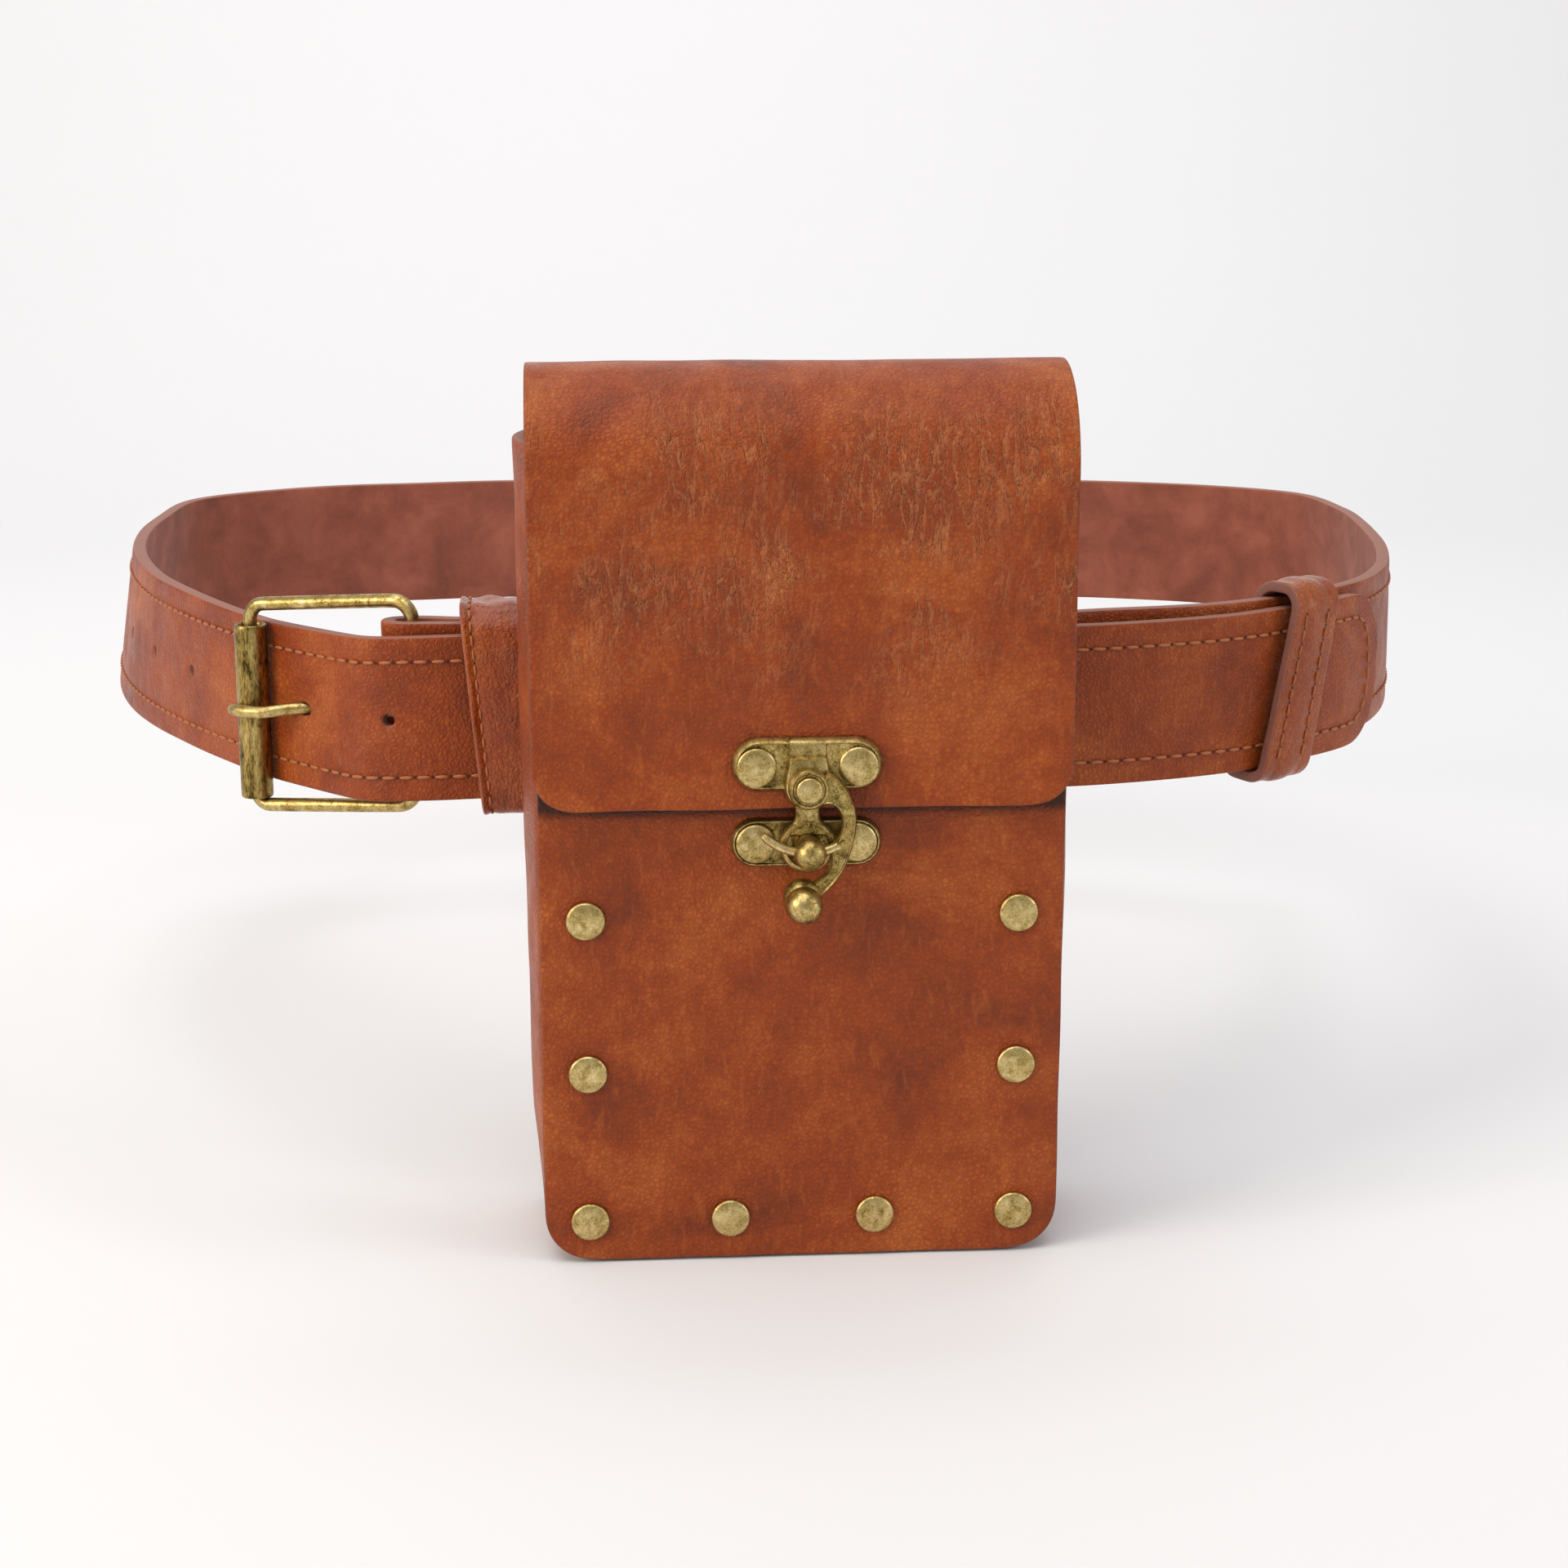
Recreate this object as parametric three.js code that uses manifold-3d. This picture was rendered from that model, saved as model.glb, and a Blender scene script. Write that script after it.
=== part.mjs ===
// Leather belt pouch in an old style, with its belt fastened in a waist loop behind it.
// Millimetres, +Z up. The pouch faces -Y. The origin is the middle of the belt loop,
// at half the belt's height, and X = 0 is the middle of the pouch.
import * as THREE from 'three';
import { mergeVertices } from 'three/addons/utils/BufferGeometryUtils.js';
import Module from 'manifold-3d';

const wasm = await Module();
wasm.setup();

// Clearances between pieces
const seatGap = 0.3; // between faces that lie on each other
const bore = 0.3; // around a shank in its hole
const cutRoom = 1; // cutters reach this far past a face

// Belt
const beltWidth = 33;
const beltThickness = 3.1;
const loopWidth = 310.2; // outer face to outer face, left to right
const loopDepth = 248.5; // outer face to outer face, front to back
const loopShift = 5.1; // the loop's middle lies this far right of the pouch's middle
const tabLength = 40; // strap folded back behind the heel bar
const tipRadius = 13; // round corners of the free end
const holePitch = 24.2;
const holeRadius = 1.4;
const holesTowardsTip = 1;
const holesTowardsLoop = 4;

// Pouch
const pouchHeight = 169.6; // base to the top of the fold
const pouchDepth = 38.5; // flap face to back face
const flapWidth = 100;
const panelWidth = 98.2;
const leather = 2;
const beltHeightOnPouch = 98; // base to the middle of the belt
const rearLayerRoom = 2.2; // room between the layers beside the pouch
const rearLayerRise = 1.8; // the rear layer stands this much higher than the free end
const flapCornerRadius = 7.5;
const panelCornerRadius = 9;
const panelTopBelowFold = 21.6; // front panel's upper edge below the top of the fold
const gussetTopBelowFold = 13.6; // gusset's upper ends below the top of the fold
const gussetFlange = 14.5; // width of the gusset's turned-in edges
const gussetBulgeTop = 3.5; // how far the side walls bow out, high up
const gussetBulgeBottom = 1.9; // and low down

// Sleeve on the pouch's back that the belt runs through
const sleeveLength = 100;
const sleeveLeft = -64; // left rim at the upper edge
const sleeveSlant = 3.8; // the rim's lower end lies this much further in
const sleeveAbove = 4.3; // room above the belt
const sleeveBelow = 0.5; // room below the belt
const sleeveFrontRoom = 3.6; // room between front wall and belt
const sleeveBackRoom = 2.4;
const sleeveTopCorner = 7;
const sleeveLowCorner = 3.4;

// Keeper band that holds the free end down
const keeperWidth = 12.5;
const keeperWall = 2.2;
const keeperAbove = 3;
const keeperBelow = 0.5;
const keeperFrontRoom = 2.2;
const keeperLean = 0.22; // sideways shift per height, top towards the tip
const keeperFromTip = 36.5; // middle of the band to the end of the strap
const keeperCorner = 4;

// Roller buckle
const wireRadius = 1.45;
const frameLength = 37.5; // roller axis to heel bar axis
const frameTurn = -25.8; // degrees, the frame's turn seen from above
const frameAbove = 5.7; // upper bar's axis above the belt's upper edge
const frameBelow = 3.2; // lower bar's axis below the belt's lower edge
const frameCornerRoller = 3.2;
const frameCornerHeel = 4.5;
const frameSag = 3.1; // the roller side hangs this much lower than the heel bar
const heelX = -73.6;
const rollerRadius = 3.3;
const rollerWall = 0.8;
const rollerLength = 36;
const rollerRest = 1.8; // roller's lower end above the lower bar's axis
const prongRadius = 1.3;
const prongHoleFromRoller = 12.9; // along the belt
const prongDrop = 2; // the prong's tip lies this much lower than its eye
const prongOverhang = 3.6; // the tip reaches this far past the roller's axis
const prongTipDip = 0.62; // share of the way out that the tip keeps past the roller
const prongSlope = 2.2; // the prong crosses the belt over twice this length

// Rivets
const rivetCapRadius = 3.75;
const rivetCapHeight = 1.3;
const rivetShankRadius = 1.4;
const rivetBackRadius = 3.1;
const rivetBackHeight = 0.7;
const rivetColumnX = 40.5;
const rivetInnerX = 13.8;
const rivetRowHeights = [8.6, 38.1, 68]; // above the base

// Swing clasp
const claspX = 0.5;
const pivotHeight = 93.9; // above the base
const flapBelowPivot = 4.6; // the flap ends this much lower than the clasp's pivot
const claspPlateWidth = 28.2;
const claspUpperHeight = 10.2;
const claspUpperAbovePivot = 3.9; // middle of the upper plate above the pivot
const claspLowerHeight = 9.4;
const claspSheet = 0.9; // floor of the plates
const claspRim = 1.5; // full height of the plates' edges
const claspRimWidth = 0.6;
const claspRivetX = 9.4;
const claspRivetRadius = 3.7;
const claspRivetHeight = 1;
const claspRivetAbove = 3.5; // upper rivets above the pivot
const bossRadius = 4.6;
const bossHeight = 2.7;
const tongueThickness = 1.5;
const ringOuter = 5.1;
const ringInner = 3.9;
const postDrop = 11.4; // pivot axis to post axis
const postRadius = 3;
const ballRadius = 3;
const hookThickness = 2;
const hubRadius = 3.8;
const pinRadius = 1.5;
const pinHeadRadius = 2.45;
const pinHeadHeight = 0.8;
const fingerRadius = 12; // the finger bends round the pivot axis
const fingerWidth = 1.6;
const fingerRoot = -66; // degrees round the pivot, 0 to the right
const fingerTip = -135;
const knobBaseRadius = 3.5;
const knobFrontRadius = 3.1;
const knobSide = -0.1; // knob's place from the pivot, as shares of the pivot to post distance
const knobDrop = -1.8;

// Places worked out from the sizes
const baseZ = -beltHeightOnPouch;
const foldTopZ = baseZ + pouchHeight;
const pivotZ = baseZ + pivotHeight;
const flapEdgeZ = pivotZ - flapBelowPivot;
const foldRadius = pouchDepth / 2;
const foldZ = foldTopZ - foldRadius;
const sheetStep = 3.6; // length of the fold's facets
const billetY = -loopDepth / 2; // outer face of the strap's free end at the front
const bodyY = billetY + beltThickness + seatGap; // outer face of the layer behind it
const heelY = bodyY + beltThickness + seatGap + wireRadius;
const foldBend = heelY - bodyY; // outer radius of the strap's fold round the heel bar
const tabY = bodyY + 2 * beltThickness + seatGap; // rear face of the folded tab
const sleeveFrontY = billetY - sleeveFrontRoom - leather;
const sleeveBackY = tabY + sleeveBackRoom + leather;
const pouchBackY = sleeveFrontY - seatGap;
const flapFaceY = pouchBackY - pouchDepth;
const foldY = flapFaceY + foldRadius; // middle of the fold
const panelFaceY = flapFaceY + leather + seatGap;
const flangeFaceY = panelFaceY + leather + seatGap;
const flangeRearY = pouchBackY - leather - seatGap;
const panelTopZ = foldTopZ - panelTopBelowFold;
const gussetTopZ = foldTopZ - gussetTopBelowFold;

const leatherMaterial = { color: 0xa0502a, roughness: 0.5, metalness: 0 };
const brassMaterial = { color: 0x8c7c40, roughness: 0.4, metalness: 0.9 };

function mesh(name, geometry, look) {
  const piece = new THREE.Mesh(geometry, new THREE.MeshStandardMaterial(look));
  piece.name = name;
  return piece;
}

// Solids for cutting and joining
function toSolid(geometry) {
  const bare = geometry.clone();
  bare.deleteAttribute('normal');
  bare.deleteAttribute('uv');
  const closed = mergeVertices(bare, 1e-4);
  return new wasm.Manifold(new wasm.Mesh({
    numProp: 3,
    vertProperties: Float32Array.from(closed.attributes.position.array),
    triVerts: Uint32Array.from(closed.index.array),
  }));
}

function toGeometry(solid) {
  const found = solid.getMesh();
  const geometry = new THREE.BufferGeometry();
  geometry.setAttribute('position', new THREE.BufferAttribute(Float32Array.from(found.vertProperties), 3));
  geometry.setIndex(Array.from(found.triVerts));
  geometry.computeVertexNormals();
  return geometry;
}

function joined(geometries) {
  return geometries.map(toSolid).reduce((whole, next) => whole.add(next));
}

function cut(solid, geometries) {
  return geometries.map(toSolid).reduce((rest, next) => rest.subtract(next), solid);
}

// A box with many steps along its length, each corner put in place by a function of
// the step, the share across (-1 to 1) and the share of the thickness (0 inner, 1 outer).
function bentSlab(steps, acrossSteps, place) {
  const geometry = new THREE.BoxGeometry(steps, 2, 1, steps, acrossSteps, 1);
  const corners = geometry.attributes.position;
  for (let i = 0; i < corners.count; i += 1) {
    const step = Math.round(corners.getX(i) + steps / 2);
    const point = place(step, corners.getY(i), corners.getZ(i) + 0.5);
    corners.setXYZ(i, point.x, point.y, point.z);
  }
  return geometry;
}

// Half width near an end with round corners
function roundedHalf(half, radius, fromEnd) {
  if (fromEnd >= radius) return half;
  return half - radius + Math.sqrt(radius ** 2 - (radius - fromEnd) ** 2);
}

// Stations from one end to the other, close together in the round corners
function roundedStations(length, startRadius, endRadius, step) {
  const turns = [0, 0.02, 0.1, 0.3, 0.6];
  const starts = turns.map((share) => share * startRadius);
  const ends = turns.map((share) => length - share * endRadius).reverse();
  const middle = length - startRadius - endRadius;
  const count = Math.ceil(middle / step);
  const between = Array.from({ length: count + 1 }, (_, i) => startRadius + (middle * i) / count);
  return [...starts, ...between, ...ends];
}

// An outline drawn in X and Z, given a thickness towards the front (-Y)
function plate(outline, rear, thickness, curveSegments = 6) {
  const settings = { depth: thickness, bevelEnabled: false, curveSegments };
  const geometry = new THREE.ExtrudeGeometry(outline, settings);
  return geometry.rotateX(Math.PI / 2).translate(0, -rear, 0);
}

// A turned piece on an axis along Y: profile rows are radius and distance to the front
function turned(profile, x, z, segments = 16) {
  const points = profile.map(([radius, front]) => new THREE.Vector2(radius, front));
  const geometry = new THREE.LatheGeometry(points, segments);
  return geometry.rotateX(Math.PI).translate(x, 0, z);
}

function rod(radius, rear, front, x, z, segments = 16) {
  return turned([[0, rear], [radius, rear], [radius, front], [0, front]], x, z, segments);
}

function ball(radius, x, z, front, segments = 14) {
  return new THREE.SphereGeometry(radius, segments, segments / 2).translate(x, -front, z);
}

// Panel with a straight upper edge and round lower corners
function panelOutline(half, top, bottom, radius) {
  const outline = new THREE.Shape();
  outline.moveTo(-half, top);
  outline.lineTo(-half, bottom + radius);
  outline.absarc(-half + radius, bottom + radius, radius, Math.PI, 1.5 * Math.PI);
  outline.lineTo(half - radius, bottom);
  outline.absarc(half - radius, bottom + radius, radius, 1.5 * Math.PI, 2 * Math.PI);
  outline.lineTo(half, top);
  outline.closePath();
  return outline;
}

function roundHole(x, z, radius) {
  const hole = new THREE.Path();
  hole.absarc(x, z, radius, 0, 2 * Math.PI, true);
  return hole;
}

function roundedBox(left, right, bottom, top, low, high = low) {
  const outline = new THREE.Shape();
  outline.moveTo(left, bottom + low);
  outline.absarc(left + low, bottom + low, low, Math.PI, 1.5 * Math.PI);
  outline.absarc(right - low, bottom + low, low, 1.5 * Math.PI, 2 * Math.PI);
  outline.absarc(right - high, top - high, high, 0, 0.5 * Math.PI);
  outline.absarc(left + high, top - high, high, 0.5 * Math.PI, Math.PI);
  outline.closePath();
  return outline;
}

// Places of the eight rivets on the front panel
const rivetPlaces = [
  ...rivetRowHeights.flatMap((height) => [
    { x: -rivetColumnX, z: baseZ + height },
    { x: rivetColumnX, z: baseZ + height },
  ]),
  { x: -rivetInnerX, z: baseZ + rivetRowHeights[0] },
  { x: rivetInnerX, z: baseZ + rivetRowHeights[0] },
];
const claspRivets = [-claspRivetX, claspRivetX];

// Back panel, fold and flap: one sheet of leather
function backAndFlap() {
  const backRise = foldZ - baseZ - seatGap;
  const foldArc = Math.PI * foldRadius;
  const flapDrop = foldZ - flapEdgeZ;
  const length = backRise + foldArc + flapDrop;
  const stations = roundedStations(length, panelCornerRadius, flapCornerRadius, sheetStep);
  const sheet = bentSlab(stations.length - 1, 2, (step, across, share) => {
    const along = stations[step];
    let half = roundedHalf(flapWidth / 2, panelCornerRadius, along);
    half = Math.min(half, roundedHalf(flapWidth / 2, flapCornerRadius, length - along));
    const depth = (1 - share) * leather;
    if (along < backRise) {
      return new THREE.Vector3(across * half, pouchBackY - depth, baseZ + seatGap + along);
    }
    if (along > backRise + foldArc) {
      return new THREE.Vector3(across * half, flapFaceY + depth, foldZ - (along - backRise - foldArc));
    }
    const turn = (along - backRise) / foldRadius;
    const radius = foldRadius - depth;
    const [y, z] = [foldY + radius * Math.cos(turn), foldZ + radius * Math.sin(turn)];
    return new THREE.Vector3(across * half, y, z);
  });
  const [rear, front] = [-flapFaceY - leather - cutRoom, -flapFaceY + cutRoom];
  const holes = claspRivets.map((x) => rod(
    rivetShankRadius + bore, rear, front, claspX + x, pivotZ + claspRivetAbove));
  return mesh('back_and_flap', toGeometry(cut(toSolid(sheet), holes)), leatherMaterial);
}

function frontPanel() {
  const outline = panelOutline(panelWidth / 2, panelTopZ, baseZ + seatGap, panelCornerRadius);
  rivetPlaces.forEach(({ x, z }) => outline.holes.push(roundHole(x, z, rivetShankRadius + bore)));
  claspRivets.forEach((x) => {
    outline.holes.push(roundHole(claspX + x, pivotZ - postDrop, rivetShankRadius + bore));
  });
  return mesh('front_panel', plate(outline, -panelFaceY - leather, leather), leatherMaterial);
}

// Side and bottom wall in one strip, with edges turned in at front and back
function gusset() {
  const half = panelWidth / 2;
  const radius = panelCornerRadius;
  const side = gussetTopZ - baseZ - radius;
  const arc = 8;
  const stations = [];
  const sideSteps = 9;
  for (let i = 0; i < sideSteps; i += 1) {
    stations.push({ x: -half, z: gussetTopZ - (side * i) / sideSteps, outX: -1, outZ: 0 });
  }
  for (let i = 0; i <= arc; i += 1) {
    const turn = Math.PI * (1 + i / (2 * arc));
    const [outX, outZ] = [Math.cos(turn), Math.sin(turn)];
    stations.push({ x: -half + radius + radius * outX, z: baseZ + radius + radius * outZ, outX, outZ });
  }
  const left = stations.slice();
  left.reverse().forEach(({ x, z, outX, outZ }) => stations.push({ x: -x, z, outX: -outX, outZ }));
  const rise = (z) => (z - baseZ) / (gussetTopZ - baseZ);
  const bulge = ({ z, outX }) => {
    const size = gussetBulgeBottom + (gussetBulgeTop - gussetBulgeBottom) * rise(z);
    return size * Math.abs(outX) * THREE.MathUtils.smoothstep(z, baseZ + radius, baseZ + 3 * radius);
  };
  const depth = flangeRearY - flangeFaceY;
  const wall = bentSlab(stations.length - 1, 6, (step, across, share) => {
    const station = stations[step];
    const bow = bulge(station) * Math.cos((across * Math.PI) / 2) - (1 - share) * leather;
    const y = flangeFaceY + depth * (0.5 - across / 2);
    return new THREE.Vector3(station.x + station.outX * bow, y, station.z + station.outZ * bow);
  });
  const flange = new THREE.Shape();
  flange.moveTo(-half, gussetTopZ);
  flange.lineTo(-half, baseZ + radius);
  flange.absarc(-half + radius, baseZ + radius, radius, Math.PI, 1.5 * Math.PI);
  flange.lineTo(half - radius, baseZ);
  flange.absarc(half - radius, baseZ + radius, radius, 1.5 * Math.PI, 2 * Math.PI);
  flange.lineTo(half, gussetTopZ);
  flange.lineTo(half - gussetFlange, gussetTopZ);
  flange.lineTo(half - gussetFlange, baseZ + gussetFlange);
  flange.lineTo(-half + gussetFlange, baseZ + gussetFlange);
  flange.lineTo(-half + gussetFlange, gussetTopZ);
  flange.closePath();
  const front = plate(flange, -flangeFaceY - leather, leather, 4);
  const rear = plate(flange, -flangeRearY, leather, 4);
  const holes = rivetPlaces.map(({ x, z }) => rod(
    rivetShankRadius + bore, -flangeFaceY - leather - cutRoom, -flangeFaceY + cutRoom, x, z));
  const underFold = foldRadius - leather - 2 * seatGap;
  const room = new THREE.Shape();
  room.moveTo(foldY + foldRadius, baseZ - cutRoom);
  room.lineTo(foldY + foldRadius, foldZ);
  room.lineTo(foldY + underFold, foldZ);
  room.absarc(foldY, foldZ, underFold, 0, Math.PI);
  room.lineTo(foldY - foldRadius, foldZ);
  room.lineTo(foldY - foldRadius, baseZ - cutRoom);
  room.closePath();
  const inside = new THREE.ExtrudeGeometry(room, {
    depth: 2 * flapWidth, bevelEnabled: false, curveSegments: 16 });
  inside.rotateX(Math.PI / 2).rotateZ(Math.PI / 2).translate(-flapWidth, 0, 0);
  const walls = joined([wall, front, rear]).intersect(toSolid(inside));
  return mesh('gusset', toGeometry(cut(walls, holes)), leatherMaterial);
}

// Band stitched to the back that the belt runs through
function beltSleeve() {
  const top = beltWidth / 2 + sleeveAbove + leather;
  const bottom = -beltWidth / 2 - sleeveBelow - leather;
  const section = roundedBox(sleeveFrontY, sleeveBackY, bottom, top, sleeveLowCorner, sleeveTopCorner);
  const inside = roundedBox(sleeveFrontY + leather, sleeveBackY - leather, bottom + leather, top - leather,
    sleeveLowCorner - leather, sleeveTopCorner - leather);
  section.holes.push(new THREE.Path(inside.getPoints(4)));
  const geometry = new THREE.ExtrudeGeometry(section, {
    depth: sleeveLength, steps: 2, bevelEnabled: false, curveSegments: 4 });
  const corners = geometry.attributes.position;
  for (let i = 0; i < corners.count; i += 1) {
    const [y, z, along] = [corners.getX(i), corners.getY(i), corners.getZ(i)];
    const rim = sleeveLeft + (sleeveSlant * (top - z)) / (top - bottom);
    corners.setXYZ(i, rim + (along * (sleeveLeft + sleeveLength - rim)) / sleeveLength, y, z);
  }
  return mesh('belt_sleeve', geometry, leatherMaterial);
}

// The buckle frame's directions, seen from above
const frameAngle = THREE.MathUtils.degToRad(180 + frameTurn);
const frameAlong = new THREE.Vector2(Math.cos(frameAngle), Math.sin(frameAngle)); // heel to roller
const frameOut = new THREE.Vector2(-frameAlong.y, frameAlong.x); // towards the front
const rollerAxis = new THREE.Vector2(heelX, heelY).addScaledVector(frameAlong, frameLength);

// Route of the strap's outer face seen from above: from the tab's end round the heel
// bar, behind the pouch to the right, round the waist and back to the front.
// x and y are shares of half the loop's width and depth. lean is the share of the
// belt's width by which its lower edge stands further out than its upper edge, and
// rise is the share of the rear layer's rise.
const waistRoute = [
  { x: 0.374, y: -0.940, lean: 0, rise: 1 },
  { x: 0.554, y: -0.880, lean: 0, rise: 1 },
  { x: 0.670, y: -0.793, lean: 0, rise: 0.9 },
  { x: 0.783, y: -0.660, lean: 0, rise: 0.8 },
  { x: 0.870, y: -0.467, lean: 0.01, rise: 0.6 },
  { x: 0.934, y: -0.201, lean: 0.02, rise: 0.4 },
  { x: 0.979, y: 0.120, lean: 0.03, rise: 0.2 },
  { x: 1.000, y: 0.400, lean: 0.03, rise: 0 },
  { x: 0.970, y: 0.620, lean: 0.03, rise: 0 },
  { x: 0.847, y: 0.770, lean: 0.02, rise: 0 },
  { x: 0.625, y: 0.875, lean: 0.01, rise: 0 },
  { x: 0.244, y: 0.972, lean: 0, rise: 0 },
  { x: -0.130, y: 1.000, lean: 0, rise: 0 },
  { x: -0.484, y: 0.970, lean: 0.02, rise: 0 },
  { x: -0.803, y: 0.880, lean: 0.05, rise: 0 },
  { x: -0.961, y: 0.715, lean: 0.1, rise: 0 },
  { x: -1.000, y: 0.440, lean: 0.14, rise: 0 },
  { x: -0.998, y: 0.100, lean: 0.15, rise: 0 },
  { x: -0.947, y: -0.225, lean: 0.12, rise: 0 },
  { x: -0.854, y: -0.500, lean: 0.06, rise: -0.3 },
];

// The free end over the rear layer: share of the way along it, and how far it stands off
const billetEnd = [
  { at: 0.03, room: 1 },
  { at: 0.25, room: 0.4 },
  { at: 0.48, room: 0 },
  { at: 0.63, room: 0 },
  { at: 0.8, room: 0 },
];

const waistPoint = ({ x, y, lean }) => new THREE.Vector3(
  loopShift + (x * loopWidth) / 2, (y * loopDepth) / 2, lean * beltWidth);

function strapRoute() {
  const points = [];
  const rises = [];
  const add = (x, y, rise, lean = 0) => {
    points.push(new THREE.Vector3(x, y, lean));
    rises.push(rise * rearLayerRise);
  };
  const bendX = heelX - foldBend / 3; // the fold hangs loosely on the heel bar
  add(heelX + tabLength, tabY, 1);
  add(heelX + tabLength * 0.6, tabY, 1);
  add(heelX + tabLength * 0.4, tabY, 1);
  add(heelX + tabLength * 0.05, heelY + foldBend, 1);
  for (let turn = 90; turn <= 270; turn += 30) {
    const angle = THREE.MathUtils.degToRad(turn);
    add(bendX + foldBend * Math.cos(angle), heelY + foldBend * Math.sin(angle), 1);
  }
  add(heelX + tabLength * 0.1, bodyY, 1);
  add(heelX + tabLength * 0.5, bodyY, 1);
  add(0, bodyY, 1);
  add(loopWidth * 0.15, bodyY, 1);
  waistRoute.forEach((row) => {
    const spot = waistPoint(row);
    add(spot.x, spot.y, row.rise, spot.z);
  });
  const underRoller = rollerAxis.clone().addScaledVector(frameOut, -rollerRadius - 2 * seatGap);
  // The strap hangs a little lower where it passes under the roller
  add(underRoller.x, underRoller.y, -0.7);
  add(heelX - frameLength * 0.49, heelY + foldBend * 0.72, -0.7);
  add(heelX - frameLength * 0.27, billetY + foldBend * 0.66, -0.5);
  add(heelX, billetY, -0.2);
  add(heelX + tabLength / 2, billetY, 0);
  add(0, billetY, 0);
  add(loopWidth * 0.15, billetY + seatGap, 0);
  const body = new THREE.CatmullRomCurve3(waistRoute.slice(0, 5).map(waistPoint));
  billetEnd.forEach(({ at, room }) => {
    const point = body.getPoint(at);
    const tangent = body.getTangent(at);
    const apart = beltThickness + seatGap + room * rearLayerRoom;
    add(point.x + tangent.y * apart, point.y - tangent.x * apart, 0);
  });
  return { curve: new THREE.CatmullRomCurve3(points, false, 'centripetal'), rises };
}

const stepsPerPoint = 3;
const route = strapRoute();
const routeSteps = (route.rises.length - 1) * stepsPerPoint;
const strapStations = [];
for (let i = 0; i <= routeSteps; i += 1) {
  const here = route.curve.getPoint(i / routeSteps);
  const ahead = route.curve.getTangent(i / routeSteps);
  const size = Math.hypot(ahead.x, ahead.y);
  const before = strapStations[i - 1];
  const along = before ? before.along + Math.hypot(here.x - before.x, here.y - before.y) : 0;
  const share = (i % stepsPerPoint) / stepsPerPoint;
  const [low, high] = [Math.floor(i / stepsPerPoint), Math.ceil(i / stepsPerPoint)];
  const rise = THREE.MathUtils.lerp(route.rises[low], route.rises[high], share);
  const [outX, outY] = [ahead.y / size, -ahead.x / size];
  strapStations.push({ x: here.x, y: here.y, lean: here.z, outX, outY, along, rise });
}
const strapLength = strapStations[routeSteps].along;

// A point on the belt: distance along the strap, distance out from its outer face,
// height, and the share of the rear layer's rise that it takes part in
function onBelt(along, out, z, lifted = 1) {
  let i = 1;
  while (i < routeSteps && strapStations[i].along < along) i += 1;
  const [a, b] = [strapStations[i - 1], strapStations[i]];
  const share = (along - a.along) / (b.along - a.along);
  const mix = (key) => a[key] + (b[key] - a[key]) * share;
  const push = out - (mix('lean') * z) / beltWidth;
  const [x, y] = [mix('x') + mix('outX') * push, mix('y') + mix('outY') * push];
  return new THREE.Vector3(x, y, z + lifted * mix('rise'));
}

// Where the strap passes closest to a place, looked for between two distances
function nearestAlong(x, y, from, to) {
  const found = strapStations.filter(({ along }) => along > from && along < to);
  const gap = (station) => Math.hypot(station.x - x, station.y - y);
  const near = found.reduce((best, next) => (gap(next) < gap(best) ? next : best));
  return near.along + (y - near.y) * near.outX - (x - near.x) * near.outY;
}

const atRoller = nearestAlong(rollerAxis.x, rollerAxis.y, strapLength / 2, strapLength);
const prongHole = atRoller + prongHoleFromRoller;

function holeThrough(along, radius, length) {
  const centre = onBelt(along, -beltThickness / 2, 0);
  const ahead = onBelt(along + 1, -beltThickness / 2, 0).sub(onBelt(along - 1, -beltThickness / 2, 0));
  const slot = new THREE.Shape();
  slot.absarc(length / 2 - radius, 0, radius, -Math.PI / 2, Math.PI / 2);
  slot.absarc(radius - length / 2, 0, radius, Math.PI / 2, 1.5 * Math.PI);
  slot.closePath();
  const deep = beltThickness + 2 * cutRoom;
  return plate(slot, -deep / 2, deep, 4)
    .rotateZ(Math.atan2(ahead.y, ahead.x))
    .translate(centre.x, centre.y, centre.z);
}

function beltStrap() {
  const ends = [0, 0.02, 0.1, 0.3, 0.6, 1].map((share) => strapLength - share * tipRadius).reverse();
  const inner = strapStations.map(({ along }) => along).filter((along) => along < ends[0] - 1);
  const stations = [...inner, ...ends];
  const slab = bentSlab(stations.length - 1, 1, (step, across, share) => {
    const along = stations[step];
    const half = roundedHalf(beltWidth / 2, tipRadius, strapLength - along);
    return onBelt(along, (share - 1) * beltThickness, across * half);
  });
  const holes = [holeThrough(prongHole, prongRadius + bore, 2 * prongRadius + beltThickness + 4 * bore)];
  for (let i = -holesTowardsLoop; i <= holesTowardsTip; i += 1) {
    if (i !== 0) holes.push(holeThrough(prongHole + i * holePitch, holeRadius, 2 * holeRadius));
  }
  const slotHalf = prongRadius + bore + seatGap;
  const slotLeft = heelX - foldBend / 3;
  const slot = new THREE.Shape();
  const slotRadius = foldBend + seatGap / 2;
  slot.absarc(slotLeft, heelY, slotRadius, Math.PI / 2, 1.5 * Math.PI);
  slot.lineTo(heelX + foldBend, heelY - slotRadius);
  slot.lineTo(heelX + foldBend, heelY + slotRadius);
  slot.closePath();
  holes.push(new THREE.ExtrudeGeometry(slot, { depth: 2 * slotHalf, bevelEnabled: false, curveSegments: 6 })
    .translate(0, 0, -slotHalf));
  return mesh('belt_strap', toGeometry(cut(toSolid(slab), holes)), leatherMaterial);
}

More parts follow.
